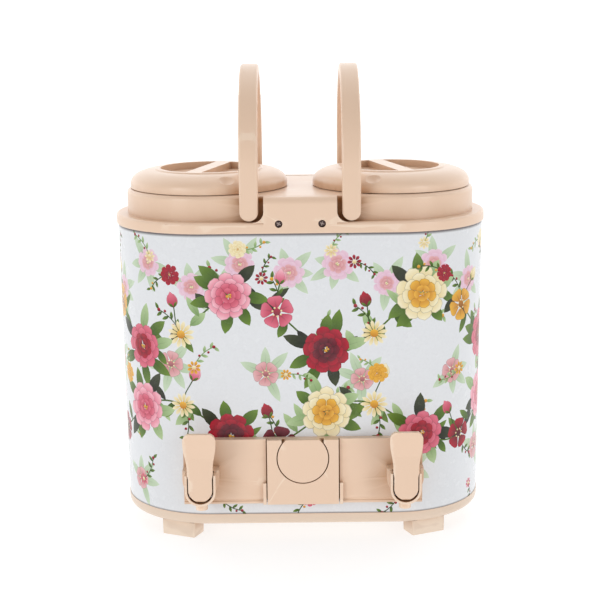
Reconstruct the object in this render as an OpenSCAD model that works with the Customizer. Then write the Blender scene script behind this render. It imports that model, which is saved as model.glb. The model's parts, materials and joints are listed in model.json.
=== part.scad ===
// Twin-tank insulated drinks flask: an oval body with two screw-down lids, two folding
// bail handles, two lever taps and a fold-down cup rest. Millimetres, +Z up, front is -Y.
// The origin is on the floor, under the middle of the overall box.

/* [Body] */
// half distance between the centres of the two end curves
end_span = 81; // [60:0.5:110]
// outside radius of the sheet's end curve at the top
shell_top_r = 81.5; // [74:0.5:96]
// outside radius of the sheet's end curve at the bottom
shell_bottom_r = 79.5; // [72:0.5:96]
// thickness of the printed sheet
shell_wall = 0.6; // [0.4:0.1:1.2]
// height of the printed sheet
shell_h = 249.5; // [200:0.5:320]
// play between the sheet and the spigots inside it
spigot_fit = 0.2; // [0.1:0.05:0.5]
// wall of the base and collar spigots
spigot_wall = 2; // [1.5:0.1:3]
// height of the base and collar spigots inside the sheet
spigot_h = 9; // [5:0.5:15]

/* [Base] */
// height of the feet
foot_h = 13.5; // [8:0.5:25]
// width of a foot along the base's edge
foot_w = 33.5; // [24:0.5:40]
// depth of a foot across the base's edge
foot_d = 18; // [14:0.5:26]
// how far each side of a foot slopes in
foot_draft = 1; // [0:0.25:4]
// corner radius of a foot in plan
foot_corner = 2.5; // [1:0.25:5]
// turn of a foot towards the end of the body
foot_turn = 24; // [0:1:45]
// visible height of the base
base_h = 10.5; // [8:0.5:20]
// how far the base stands out past the sheet
base_lip = 0.5; // [0:0.1:2]
// rounding of the base's lower edge
base_edge = 6; // [3:0.5:8]
// wall of the base
base_wall = 2.5; // [1.5:0.1:4]
// floor of the base
base_floor = 3; // [2:0.1:5]
// radius of the screw bosses inside the base
boss_r = 5; // [4:0.25:7]
// height of the screw bosses inside the base
boss_h = 8; // [5:0.5:12]

/* [Screws] */
// shank radius of the screws
screw_r = 1.9; // [1.2:0.1:2.5]
// head radius of the screws
screw_head_r = 3.1; // [2.4:0.1:4]
// head height of the screws
screw_head_h = 2.2; // [1.5:0.1:3]
// play around a screw's head and shank
screw_fit = 0.1; // [0.05:0.05:0.4]
// length of the foot screws under the head
foot_screw_len = 16; // [12:0.5:18]
// length of the collar screws under the head
collar_screw_len = 20; // [16:0.5:24]
// sideways place of the collar screws
collar_screw_x = 18.3; // [8:0.1:22]
// how far a screw head sits below its surface
screw_sink = 0.6; // [0.2:0.1:2]
// depth of the collar screws below the ledge
collar_screw_drop = 1.3; // [0.5:0.1:3]
// half length of the cross slots in a screw's head
slot_reach = 1.86; // [1.2:0.02:2.2]
// width of the cross slots in a screw's head
slot_w = 0.8; // [0.5:0.1:1]
// depth of the cross slots in a screw's head
slot_depth = 1.2; // [0.6:0.1:1.6]

/* [Collar] */
// how far the flange stands out past the sheet
flange_out = 1.5; // [0.5:0.1:3]
// height of the flange
flange_h = 9.5; // [8:0.5:16]
// rounding of the flange's upper edge
flange_edge = 2.5; // [1:0.25:3]
// rounding of the flange's lower edge
flange_under = 1.2; // [0.4:0.1:2]
// width of the ledge between the flange's edge and the set-back wall
ledge_w = 10.2; // [9.6:0.1:14]
// height of the set-back wall above the flange
wall_h = 21.3; // [18:0.1:32]
// thickness of the collar's walls and deck
collar_wall = 3; // [2:0.1:4]
// rounding where the wall meets the deck
shoulder = 4; // [1:0.25:6]
// half width of the middle block between the handles
block_half = 31; // [24:0.1:33]
// rounding of the middle block's upper edge
block_edge = 6; // [2:0.25:7]
// fillet at the foot of the middle block
pocket_fillet = 9; // [4:0.25:10]

/* [Handles] */
// sideways place of the handle pivots
handle_x = 43.3; // [40:0.1:46]
// width of the handle band
handle_w = 16; // [12:0.5:18]
// thickness of the handle band
handle_t = 8; // [6:0.25:8.5]
// rounding of the handle band's edges
handle_edge = 2.2; // [1:0.1:3.5]
// play between a handle and the collar
swing_gap = 1; // [0.5:0.1:1.5]
// radius of the pegs on a handle
peg_r = 4; // [3:0.1:5]
// length of the pegs on a handle
peg_len = 7; // [5:0.5:8]
// wall of the collar's sockets around the pegs
peg_boss = 3; // [2:0.25:4]
// radial play of a turning or sliding fit
running_gap = 0.05; // [0.02:0.01:0.1]

/* [Tanks] */
// inside radius of a tank
tank_r = 60.5; // [56:0.5:62]
// wall of a tank
tank_wall = 1.5; // [1:0.1:2.5]
// rounding inside a tank's floor
tank_corner = 8; // [4:0.5:15]
// height of a tank's floor above the base
tank_lift = 22.5; // [16:0.5:24]
// width of the rim around a tank's mouth
tank_rim = 4; // [3:0.25:6]
// gap between the foam and the parts around it
foam_gap = 0.3; // [0.2:0.1:1]
// gap between the foam and the spigots
foam_play = 0.4; // [0.3:0.05:1]
// inside radius of a neck
neck_r = 56; // [50:0.5:57]
// wall of a neck
neck_wall = 3; // [2:0.1:3.5]
// thickness of the plate that joins the necks
neck_plate = 3; // [2:0.1:4]
// how far a neck's rim stands above the deck
neck_rim = 1.2; // [0.6:0.1:2]
// height of the neck frame above the sheet's top
neck_lift = 1.5; // [1:0.1:3]
// play between the neck frame and the collar
neck_gap = 0.4; // [0.3:0.05:0.8]

/* [Lids] */
// how far a lid's edge lies inside the collar's wall
lid_inset = 3.2; // [2:0.1:6.5]
// height of a lid
lid_h = 16.5; // [14:0.25:20]
// gap under a lid's edge
lid_gap = 0.5; // [0.3:0.1:1]
// height of the lid's upright edge
lid_edge = 4; // [2:0.25:5]
// radius of the lid's raised top
lid_top_r = 48; // [46.5:0.5:52]
// height of the lid's raised top above its dome
lid_tier = 1; // [0.5:0.1:2]
// radius of the two finger recesses
recess_r = 43; // [36:0.5:46]
// depth of the finger recesses
recess_depth = 6; // [4:0.25:6.5]
// width of the grip bar between the recesses
grip_w = 14; // [10:0.5:20]
// turn of the grip bar
grip_turn = 15; // [0:1:45]
// radius of the thumb scallop on the slope
scallop_r = 13; // [8:0.5:16]
// height of the scallop's centre above the lid
scallop_lift = 4.55; // [2:0.05:7]
// turn of the thumb scallop towards the middle
scallop_turn = 17; // [0:1:40]
// floor under the finger recesses
recess_floor = 2.5; // [1.5:0.1:3]
// room between a lid's skirt and the neck
skirt_gap = 2; // [1.6:0.1:2.4]
// thickness of the sealing ring
seal_t = 2; // [1.5:0.1:3]
// gap above and below the sealing ring
seal_gap = 0.3; // [0.2:0.05:0.5]
// play between a lid's plug and the neck
plug_gap = 0.4; // [0.3:0.05:0.8]
// wall of a lid's plug
plug_wall = 2; // [1.5:0.1:3]
// depth of a lid's plug below the deck
plug_depth = 22; // [14:0.5:26]

/* [Front panel] */
// half width of the front panel
panel_half = 103.7; // [98:0.1:110]
// height of the front panel's lower edge above the base's top
panel_lift = 12.4; // [6:0.1:20]
// height of the front panel
panel_h = 58.2; // [54:0.1:70]
// how far the front panel stands out from the flat of the body
panel_out = 8; // [6:0.25:12]
// play between the front panel and the sheet
panel_fit = 0.1; // [0:0.05:0.3]
// wall of the front panel
panel_wall = 2.5; // [2:0.1:3.5]
// half width of the cup rest
rest_half = 31; // [26:0.5:36]
// thickness of the cup rest
rest_t = 5.5; // [4.5:0.1:7]
// how far the cup rest's face stands ahead of the panel
rest_out = 3.5; // [2:0.1:5]
// radius of the round cut-out in the cup rest
rest_hole_r = 22.8; // [18:0.1:24]
// height of the cut-out's centre above the panel's lower edge
rest_hole_z = 41.6; // [36:0.1:46]
// half width of the cut-out's mouth
rest_mouth = 18.2; // [12:0.1:20]
// gap around the cup rest
rest_gap = 0.9; // [0.5:0.05:1.2]
// thickness of the ears that carry the cup rest
ear_t = 2.8; // [2:0.1:4]
// height of the ears that carry the cup rest
ear_h = 19.3; // [10:0.1:26]
// height of the cup rest's hinge above its lower edge's middle
hinge_lift = 0.3; // [0.2:0.05:0.6]
// how far the cup rest's hinge lies ahead of its back face
hinge_lead = 0.6; // [0.4:0.05:1]
// radius of the cup rest's pins
rest_pin_r = 1.2; // [0.8:0.1:1.6]
// depth of the pins in the cup rest
rest_pin_in = 5; // [3:0.5:8]
// end play of the hinge pins
pin_end_gap = 0.3; // [0.2:0.05:0.5]

/* [Taps] */
// sideways place of the taps
tap_x = 88; // [80:0.5:89]
// height of a tap's bore above the base's top
tap_lift = 35; // [33:0.5:37]
// depth of the valve's seat behind the panel's face
valve_in = 8; // [6:0.5:10]
// radius of a tap's shank
shank_r = 9; // [8.5:0.1:11]
// radius of the bore through a tap's shank
bore_r = 5; // [3:0.1:5.5]
// radius of the valve chamber
chamber_r = 7; // [6.5:0.1:7.2]
// half width of a tap's root
root_half = 15.7; // [14.5:0.1:17]
// reach of a tap's root below the bore
root_drop = 12; // [11:0.5:14]
// reach of a tap's root above the bore
root_rise = 12.1; // [10:0.1:16]
// depth of a tap's root ahead of the panel
root_out = 13; // [12.5:0.1:16]
// depth of the frame's root in the tap's root
frame_root = 4; // [3:0.25:6]
// how far the frame's face lies behind the lever's
frame_set = 1; // [0.5:0.1:2]
// half width of the frame around the lever
frame_half = 13.2; // [12.4:0.1:15]
// half width of the lever's tongue
tongue_half = 10.2; // [9:0.1:10.5]
// gap between the lever and its frame
lever_gap = 1; // [0.6:0.1:1.5]
// gap between the lever's foot and the tap's root
lever_back_gap = 0.5; // [0.4:0.05:1]
// thickness of the lever's foot
hub_t = 10; // [9:0.5:12]
// thickness of the lever's plate
lever_t = 4; // [3:0.25:5]
// height of the lever's foot below the bore
hub_drop = 13.9; // [13.5:0.1:16]
// height of the frame's top above the bore
frame_rise = 10.7; // [9:0.1:14]
// drop of the lever's foot below the frame's top
foot_below = 3; // [2:0.25:4]
// height of the lever's waist above the bore
waist_rise = 15.488; // [14:0.001:18]
// height of the lever's bend above the bore
bend_rise = 26; // [20:0.5:30]
// height of the lever's top above the bore
lever_rise = 48.4; // [42:0.1:56]
// half width of the lever's waist
waist_half = 11; // [10:0.1:12.5]
// half width of the lever's pad
pad_half = 14; // [12.5:0.1:16]
// length of the lever's pad at its full width
pad_h = 9; // [6:0.5:14]
// size of the pad's bevelled upper corners
pad_corner = 4; // [2:0.25:6]
// lean of the lever's pad
pad_lean = 8; // [0:0.5:12]
// largest tilt of a lever
lever_tilt = 25; // [15:1:28]
// radius of the lever's pin
lever_pin_r = 1.5; // [1:0.1:2]
// radius of the stem's ball
ball_r = 2.5; // [2.2:0.1:2.6]
// radius of the valve stem
stem_r = 1.5; // [1:0.1:1.7]
// radius of the ball's socket in the lever
socket_r = 3.4; // [3.3:0.05:3.8]
// height of the socket's centre above the bore
socket_lift = 0.45; // [0.2:0.05:0.8]
// play of the stem in the lever's slot
slot_gap = 0.4; // [0.3:0.05:0.8]
// reach of the stem's slot in the lever below the bore
slot_low = 5.5; // [4:0.1:6]
// reach of the stem's slot in the lever above the bore
slot_high = 2.6; // [2:0.1:4]
// outside radius of the spout
spout_r = 5.2; // [4.6:0.1:6]
// radius of the spout's bore
spout_bore = 3.5; // [2:0.1:3.8]
// length of the spout below the bore
spout_drop = 24.1; // [22:0.1:30]
// how far the spout lies inside the tap's root
spout_set = 0.2; // [0:0.05:0.6]
// radius of the valve's rubber seal
valve_r = 6; // [5.5:0.1:6.5]
// thickness of the valve's rubber seal
valve_t = 3; // [2:0.1:4]
// thickness of the stem's collar behind the seal
stem_collar = 1; // [0.8:0.1:2]
// how far the stem's collar lies inside the seal's edge
stem_collar_in = 2; // [1:0.1:2.5]
// gap between the seal and its seat
seat_gap = 0.3; // [0.1:0.05:0.5]
// thickness of the chamber's bonnet
bonnet_t = 3; // [2:0.1:4]
// radius of the spring wire
wire_r = 0.45; // [0.3:0.05:0.6]
// middle radius of the spring
spring_r = 4.4; // [3:0.1:5]
// turns of the spring
spring_turns = 5; // [3:1:8]
// radius of the washer inside the tank
washer_r = 13; // [12:0.5:15]
// corner radius of the nut inside the tank
nut_r = 14; // [12.5:0.5:16]
// thickness of the nut inside the tank
nut_t = 6; // [4:0.5:8]
// how far a tap's shank stands out past its nut
shank_end = 2; // [1:0.25:4]

/* [Hidden] */
$fn = 96;
far = 300;
base_z = foot_h;
base_top = base_z + base_h;
base_r = shell_bottom_r + base_lip;
foot_reach = base_r - base_edge + 0.5;
foot_screw_y = -foot_reach + foot_d / 2;
foot_screw_z = base_z + base_floor + boss_h - 1 - foot_screw_len - screw_head_h;
shell_top_z = base_top + shell_h;
spigot_taper = (shell_top_r - shell_bottom_r) * spigot_h / shell_h;
base_spigot_r = shell_bottom_r - shell_wall - spigot_fit + min(spigot_taper, 0);
collar_spigot_r = shell_top_r - shell_wall - spigot_fit - max(spigot_taper, 0);
flange_r = shell_top_r + flange_out;
wall_r = flange_r - ledge_w;
ledge_z = shell_top_z + flange_h;
deck_z = ledge_z + wall_h;
collar_screw_z = ledge_z - collar_screw_drop;
pivot_z = ledge_z + swing_gap + handle_w / 2;
handle_in = wall_r + swing_gap;
handle_out = handle_in + handle_t;
handle_leg = end_span - handle_x;
frame_in_r = wall_r - collar_wall - neck_gap;
neck_z = shell_top_z + neck_lift;
neck_top = deck_z + neck_rim;
neck_out = neck_r + neck_wall;
tank_z = base_z + tank_lift;
foam_bottom_r = base_spigot_r - spigot_wall - foam_play;
foam_top_r = collar_spigot_r - spigot_wall - foam_play;
foam_top_z = shell_top_z - tank_wall;
lid_z = deck_z + lid_gap;
lid_r = wall_r - lid_inset;
lid_top = lid_z + lid_h;
dome_h = lid_h - lid_edge - lid_tier;
cap_in_r = neck_out + skirt_gap;
seal_z = neck_top + seal_gap;
cap_land = seal_z + seal_t + seal_gap;
plug_r = neck_r - plug_gap;
cap_roof = lid_top - recess_depth - recess_floor;
panel_z = base_top + panel_lift;
panel_top = panel_z + panel_h;
panel_back = shell_bottom_r + (shell_top_r - shell_bottom_r) * panel_lift / shell_h;
panel_y = -(panel_back + panel_out);
rest_y = panel_y - rest_out;
rest_back = rest_y + rest_t;
seat_y = rest_back + rest_gap;
hinge_z = panel_z + rest_t / 2 + hinge_lift;
hinge_y = seat_y - rest_t / 2 - hinge_lead;
tap_z = base_top + tap_lift;
root_y = panel_y - root_out;
hub_r = hub_t / 2;
lever_back = root_y - lever_back_gap;
lever_y = lever_back - hub_t;
lever_pin_y = lever_back - hub_r;
lever_pin_z = tap_z - hub_drop + hub_r;
tongue_z = tap_z - hub_drop + tongue_half;
foot_top = tap_z + frame_rise - foot_below;
frame_y = lever_y + frame_set;
socket_z = tap_z + socket_lift;
bend_z = tap_z + bend_rise;
lever_len = lever_rise - bend_rise;
valve_y = panel_y + valve_in;
spout_y = root_y + spout_r - spout_set;
washer_y = -sqrt(tank_r * tank_r - pow(tap_x - end_span + washer_r + 1, 2));
shank_back = washer_y + nut_t + shank_end;
pad_lead = lever_len * tan(pad_lean);
front_reach = -lever_y + pad_lead;
front_shift = (front_reach - flange_r) / 2;
plastic = [0.90, 0.78, 0.68];

// the piece to draw, or all of them

// sets a piece in the shared frame
module placed(tint) {
    color(tint) translate([0, front_shift, 0]) children();
}

// sweeps a profile (distance from the spine, height) around the oval
module oval_sweep() {
    for (side = [-1, 1]) {
        translate([side * end_span, 0, 0]) rotate([0, 0, -90 * side])
            rotate_extrude(angle = 180) children();
        rotate([0, 0, 90 - 90 * side]) translate([-end_span, 0, 0]) rotate([90, 0, 90])
            linear_extrude(height = 2 * end_span) children();
    }
}

// extrudes an outline drawn in x and z, from y0 forward by depth
module slab(y0, depth) {
    translate([0, y0, 0]) rotate([90, 0, 0]) linear_extrude(height = depth) children();
}

// extrudes an outline drawn in y and z, half a width each way along x
module bar(half) {
    translate([-half, 0, 0]) rotate([90, 0, 90]) linear_extrude(height = 2 * half) children();
}

// a round rod along y, from y0 forward by len
module rod(x, y0, z, r, len) {
    translate([x, y0, z]) rotate([90, 0, 0]) cylinder(r = r, h = len);
}

// what is cut from a square corner to round it
module corner_cut(at, inward, r) {
    middle = at + inward * r;
    difference() {
        translate(middle - [inward.x > 0 ? r + 1 : 0, inward.y > 0 ? r + 1 : 0]) square(r + 1);
        translate(middle) circle(r);
    }
}

// what is added to an inner corner to fill it
module corner_fill(at, away, r) {
    difference() {
        translate(at - [away.x < 0 ? r : 0.5, 0.5]) square([r + 0.5, r + 0.5]);
        translate(at + away * r) circle(r);
    }
}

// a rectangle from one corner to the other
module box_2d(low, high) {
    translate(low) square(high - low);
}

// a rectangle with four rounded corners
module soft_box_2d(low, high, r) {
    box_2d(low + [r, 0], high - [r, 0]);
    box_2d(low + [0, r], high - [0, r]);
    for (x = [low.x + r, high.x - r])
        for (y = [low.y + r, high.y - r])
            translate([x, y]) circle(r);
}

// a U outline: round below, straight above
module u_2d(half, middle, top) {
    intersection() {
        translate([0, middle]) circle(half);
        box_2d([-half, middle - half], [half, top]);
    }
    box_2d([-half, middle], [half, top]);
}

// a cross-head screw pointing up, its head's face at z = 0
module screw(len) {
    difference() {
        union() {
            cylinder(r = screw_head_r, h = screw_head_h);
            cylinder(r = screw_r, h = screw_head_h + len);
        }
        for (turn = [0, 90])
            rotate([0, 0, turn]) translate([-slot_reach, -slot_w / 2, -1])
                cube([2 * slot_reach, slot_w, slot_depth + 1]);
    }
}

// the four corners where feet stand
module at_feet() {
    for (side = [-1, 1])
        for (end = [0, 1])
            mirror([0, end, 0]) at_foot(side) children();
}

// one front foot's own place, on the left or right
module at_foot(side) {
    mirror([side < 0 ? 1 : 0, 0, 0]) translate([end_span, 0, 0]) rotate([0, 0, foot_turn]) children();
}

module base_tray() {
    placed(plastic) difference() {
        union() {
            oval_sweep() difference() {
                union() {
                    box_2d([0, base_z], [base_r, base_z + base_floor]);
                    box_2d([base_r - base_wall, base_z], [base_r, base_top]);
                    box_2d([base_spigot_r - spigot_wall, base_z], [base_spigot_r, base_top + spigot_h]);
                }
                corner_cut([base_r, base_z], [-1, 1], base_edge);
            }
            at_feet() translate([0, foot_screw_y, base_z + 1])
                cylinder(r = boss_r, h = base_floor - 1 + boss_h);
        }
        at_feet() translate([0, foot_screw_y, base_z - 1]) cylinder(r = screw_r + screw_fit, h = far / 2);
    }
}

module foot(side) {
    at_foot(side) difference() {
        intersection() {
            slab(-foot_reach + foot_d, foot_d) polygon([
                [-foot_w / 2 + foot_draft, 0],
                [foot_w / 2 - foot_draft, 0],
                [foot_w / 2, foot_h],
                [-foot_w / 2, foot_h]]);
            linear_extrude(height = foot_h)
                soft_box_2d([-foot_w / 2, -foot_reach], [foot_w / 2, -foot_reach + foot_d], foot_corner);
        }
        translate([0, foot_screw_y, -1]) cylinder(r = screw_r + screw_fit, h = foot_h + 2);
        translate([0, foot_screw_y, -1])
            cylinder(r = screw_head_r + screw_fit, h = foot_screw_z + screw_head_h + 1);
    }
}

module foot_front_left() {
    placed(plastic) foot(-1);
}

module foot_front_right() {
    placed(plastic) foot(1);
}

module foot_rear_left() {
    placed(plastic) mirror([0, 1, 0]) foot(-1);
}

module foot_rear_right() {
    placed(plastic) mirror([0, 1, 0]) foot(1);
}

module foot_screws() {
    placed([0.35, 0.35, 0.36]) at_feet() translate([0, foot_screw_y, foot_screw_z]) screw(foot_screw_len);
}

module outer_shell() {
    placed([0.90, 0.90, 0.91]) difference() {
        oval_sweep() polygon([
            [shell_bottom_r - shell_wall, base_top],
            [shell_bottom_r, base_top],
            [shell_top_r, shell_top_z],
            [shell_top_r - shell_wall, shell_top_z]]);
        for (side = [-1, 1])
            rod(side * tap_x, 0, tap_z, shank_r + screw_fit, far);
    }
}

module foam_core() {
    placed([0.93, 0.88, 0.62]) difference() {
        oval_sweep() polygon([
            [0, base_z + base_floor],
            [foam_bottom_r, base_z + base_floor],
            [foam_bottom_r, base_top + spigot_h],
            [foam_top_r, shell_top_z - spigot_h],
            [foam_top_r, foam_top_z],
            [0, foam_top_z]]);
        for (side = [-1, 1]) {
            translate([side * end_span, 0, tank_z - foam_gap])
                cylinder(r = tank_r + tank_wall + foam_gap, h = far);
            rod(side * tap_x, 0, tap_z, shank_r + foam_gap, far);
        }
        at_feet() translate([0, foot_screw_y, base_z])
            cylinder(r = boss_r + foam_gap, h = base_floor + boss_h + foam_gap);
    }
}

// one tank, with the tap's hole in its front
module liner(side) {
    difference() {
        translate([side * end_span, 0, 0]) rotate_extrude() difference() {
            union() {
                box_2d([0, tank_z], [tank_r + tank_wall, neck_z]);
                box_2d([tank_r, neck_z - tank_wall], [tank_r + tank_wall + tank_rim, neck_z]);
            }
            corner_cut([tank_r + tank_wall, tank_z], [-1, 1], tank_corner + tank_wall);
            difference() {
                box_2d([-1, tank_z + tank_wall], [tank_r, neck_z + 1]);
                corner_cut([tank_r, tank_z + tank_wall], [-1, 1], tank_corner);
            }
        }
        rod(side * tap_x, 0, tap_z, shank_r + running_gap, far);
    }
}

module left_liner() {
    placed([0.93, 0.93, 0.91]) liner(-1);
}

module right_liner() {
    placed([0.93, 0.93, 0.91]) liner(1);
}

// the four collar screws' places, pointing into the body
module at_collar_screws() {
    for (end = [0, 1])
        for (side = [-1, 1])
            mirror([0, end, 0]) translate([side * collar_screw_x, -flange_r + screw_sink, collar_screw_z])
                rotate([-90, 0, 0]) children();
}

module neck_frame() {
    stem = 2 * boss_r;
    placed([0.94, 0.93, 0.90]) difference() {
        union() {
            oval_sweep() box_2d([0, neck_z], [frame_in_r, neck_z + neck_plate]);
            for (side = [-1, 1])
                translate([side * end_span, 0, neck_z]) cylinder(r = neck_out, h = neck_top - neck_z);
            for (end = [0, 1])
                for (side = [-1, 1])
                    mirror([0, end, 0])
                        translate([side * collar_screw_x - boss_r, -frame_in_r, neck_z])
                            cube([stem, stem, collar_screw_z - neck_z + boss_r]);
        }
        for (side = [-1, 1])
            translate([side * end_span, 0, neck_z - 1]) cylinder(r = neck_r, h = far);
        at_collar_screws() cylinder(r = screw_r + screw_fit, h = screw_head_h + collar_screw_len + 1);
    }
}

// the middle block's front, with its fillets and rounded upper edge
module collar_block() {
    intersection() {
        slab(-wall_r + 1, flange_r - wall_r + 1) {
            box_2d([-block_half, ledge_z - flange_edge], [block_half, deck_z]);
            for (side = [-1, 1])
                corner_fill([side * block_half, ledge_z - 0.01], [side, 1], pocket_fillet);
        }
        bar(far) difference() {
            box_2d([-flange_r, shell_top_z + flange_under], [-wall_r + 1, deck_z]);
            corner_cut([-flange_r, deck_z], [1, -1], block_edge);
        }
    }
}

module collar() {
    inner = wall_r - collar_wall;
    placed(plastic) difference() {
        union() {
            oval_sweep() difference() {
                union() {
                    box_2d([inner, ledge_z - collar_wall], [flange_r, ledge_z]);
                    box_2d([collar_spigot_r, shell_top_z], [flange_r, ledge_z]);
                    box_2d([collar_spigot_r - spigot_wall, shell_top_z - spigot_h],
                        [collar_spigot_r, ledge_z]);
                    box_2d([inner, ledge_z - collar_wall], [wall_r, deck_z]);
                    box_2d([0, deck_z - collar_wall], [wall_r, deck_z]);
                }
                corner_cut([flange_r, ledge_z], [-1, -1], flange_edge);
                corner_cut([flange_r, shell_top_z], [-1, 1], flange_under);
                corner_cut([wall_r, deck_z], [-1, -1], shoulder);
            }
            for (end = [0, 1])
                mirror([0, end, 0]) {
                    collar_block();
                    for (side = [-1, 1])
                        rod(side * handle_x, -wall_r + peg_len + 1, pivot_z, peg_r + peg_boss, peg_len);
                }
        }
        for (side = [-1, 1]) {
            translate([side * end_span, 0, ledge_z]) cylinder(r = neck_out + neck_gap, h = far);
            rod(side * handle_x, far / 2, pivot_z, peg_r + running_gap, far);
        }
        at_collar_screws() {
            cylinder(r = screw_r + screw_fit, h = far / 10);
            translate([0, 0, -screw_sink - 1])
                cylinder(r = screw_head_r + screw_fit, h = screw_sink + 1 + screw_head_h);
        }
    }
}

module collar_screws() {
    placed([0.16, 0.15, 0.15]) at_collar_screws() screw(collar_screw_len);
}

// the band's cross-section, its thickness outwards from the arch's centre
module band_2d() {
    soft_box_2d([handle_in, -handle_w / 2], [handle_out, handle_w / 2], handle_edge);
}

module handle(side) {
    translate([side * handle_x, 0, pivot_z]) {
        translate([0, 0, handle_leg]) rotate([90, 0, 90]) rotate_extrude(angle = 180) band_2d();
        for (end = [0, 1])
            mirror([0, end, 0]) {
                intersection() {
                    translate([0, 0, -handle_w]) linear_extrude(height = handle_w + handle_leg)
                        rotate([0, 0, -90]) band_2d();
                    slab(0, far) u_2d(handle_w / 2, 0, handle_leg);
                }
                rod(0, -handle_in + peg_len, 0, peg_r, peg_len + 1);
            }
    }
}

module left_handle() {
    placed(plastic) handle(-1);
}

module right_handle() {
    placed(plastic) handle(1);
}

// the lid's outer outline, from the middle of the top to its lower edge
function lid_outline() = concat([
    [0, lid_top],
    [lid_top_r - 1.4 * lid_tier, lid_top],
    [lid_top_r - 0.4 * lid_tier, lid_top - 0.4 * lid_tier],
    [lid_top_r, lid_top - lid_tier]],
    [for (turn = [81 : -9 : 0])
        [lid_top_r + (lid_r - lid_top_r) * cos(turn), lid_z + lid_edge + dome_h * sin(turn)]],
    [[lid_r, lid_z]]);

// a lid's cap seen with its scallop on the right of the front
module cap() {
    difference() {
        rotate_extrude() polygon(concat(lid_outline(), [
            [cap_in_r, lid_z],
            [cap_in_r, cap_land],
            [plug_r + running_gap, cap_land],
            [plug_r + running_gap, cap_roof],
            [0, cap_roof]]));
        rotate([0, 0, -grip_turn]) for (turn = [0, 180])
            rotate([0, 0, turn]) translate([0, 0, lid_top - recess_depth])
                linear_extrude(height = recess_depth + 1) intersection() {
                    circle(recess_r);
                    box_2d([grip_w / 2, -recess_r], [recess_r, recess_r]);
                }
        rotate([0, 0, scallop_turn]) translate([0, -lid_r, lid_top + scallop_lift]) sphere(scallop_r);
    }
}

// sets a lid's pieces over the left or right tank
module at_lid(side, tint) {
    placed(tint) translate([side * end_span, 0, 0]) mirror([side > 0 ? 1 : 0, 0, 0]) children();
}

module plug() {
    rotate_extrude() difference() {
        box_2d([0, deck_z - plug_depth], [plug_r, cap_roof]);
        box_2d([-1, deck_z - plug_depth + plug_wall], [plug_r - plug_wall, cap_roof + 1]);
        corner_cut([plug_r, deck_z - plug_depth], [-1, 1], plug_wall);
    }
}

module lid_foam() {
    translate([0, 0, deck_z - plug_depth + plug_wall])
        cylinder(r = plug_r - plug_wall - running_gap, h = cap_roof - deck_z + plug_depth - plug_wall);
}

module lid_seal() {
    rotate_extrude() box_2d([plug_r + seal_gap, seal_z], [cap_in_r - seal_gap, seal_z + seal_t]);
}

module left_lid_cap() {
    at_lid(-1, plastic) cap();
}

module left_lid_plug() {
    at_lid(-1, [0.94, 0.93, 0.90]) plug();
}

module left_lid_foam() {
    at_lid(-1, [0.95, 0.95, 0.93]) lid_foam();
}

module left_lid_seal() {
    at_lid(-1, [0.86, 0.86, 0.84]) lid_seal();
}

module right_lid_cap() {
    at_lid(1, plastic) cap();
}

module right_lid_plug() {
    at_lid(1, [0.94, 0.93, 0.90]) plug();
}

module right_lid_foam() {
    at_lid(1, [0.95, 0.95, 0.93]) lid_foam();
}

module right_lid_seal() {
    at_lid(1, [0.86, 0.86, 0.84]) lid_seal();
}

// the body's outside as one solid, for what is shaped to lie against it
module body_solid() {
    oval_sweep() polygon([
        [0, base_top],
        [shell_bottom_r + panel_fit, base_top],
        [shell_top_r + panel_fit, shell_top_z],
        [0, shell_top_z]]);
}

module front_panel() {
    ear_in = rest_half + rest_gap;
    placed(plastic) difference() {
        union() {
            difference() {
                slab(0, -panel_y) box_2d([-panel_half, panel_z], [panel_half, panel_top]);
                slab(1, -panel_y - panel_wall + 1) box_2d(
                    [-panel_half + panel_wall, panel_z + panel_wall],
                    [panel_half - panel_wall, panel_top - panel_wall]);
                slab(seat_y, far) box_2d([-ear_in, panel_z - 1], [ear_in, panel_top + 1]);
            }
            slab(seat_y + panel_wall, panel_wall) box_2d([-ear_in - 1, panel_z], [ear_in + 1, panel_top]);
            for (side = [-1, 1]) {
                rod(side * tap_x, -1, tap_z, washer_r, -panel_y - 2);
                translate([side * (ear_in + ear_t / 2) - ear_t / 2, rest_y, panel_z])
                    cube([ear_t, seat_y + panel_wall - rest_y, ear_h]);
            }
            intersection() {
                rod(0, seat_y + 1, panel_z + rest_hole_z, rest_hole_r - rest_gap, seat_y + 1 - rest_y);
                translate([-far / 2, -far, panel_z]) cube([far, far, panel_h]);
            }
        }
        body_solid();
        for (side = [-1, 1])
            rod(side * tap_x, 0, tap_z, shank_r + running_gap, far);
        translate([-far / 2, hinge_y, hinge_z]) rotate([0, 90, 0])
            cylinder(r = rest_pin_r + running_gap, h = far);
    }
}

module cup_rest() {
    placed(plastic) difference() {
        bar(rest_half) {
            box_2d([rest_y, hinge_z], [rest_back, panel_top]);
            box_2d([rest_y, panel_z], [hinge_y, hinge_z]);
            translate([hinge_y, hinge_z]) circle(rest_back - hinge_y);
        }
        slab(0, far) {
            translate([0, panel_z + rest_hole_z]) circle(rest_hole_r);
            box_2d([-rest_mouth, panel_z + rest_hole_z], [rest_mouth, panel_top + 1]);
        }
        for (side = [0, 1])
            mirror([side, 0, 0]) translate([rest_half - rest_pin_in - pin_end_gap, hinge_y, hinge_z])
                rotate([0, 90, 0]) cylinder(r = rest_pin_r + running_gap, h = rest_pin_in + 1);
    }
}

module cup_rest_pins() {
    placed([0.75, 0.75, 0.76]) for (side = [0, 1])
        mirror([side, 0, 0]) translate([rest_half - rest_pin_in, hinge_y, hinge_z])
            rotate([0, 90, 0]) cylinder(r = rest_pin_r, h = rest_pin_in + rest_gap + ear_t);
}

// sets a tap's pieces at the left or right tap
module at_tap(side, tint) {
    placed(tint) translate([side * tap_x, 0, 0]) children();
}

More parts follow.
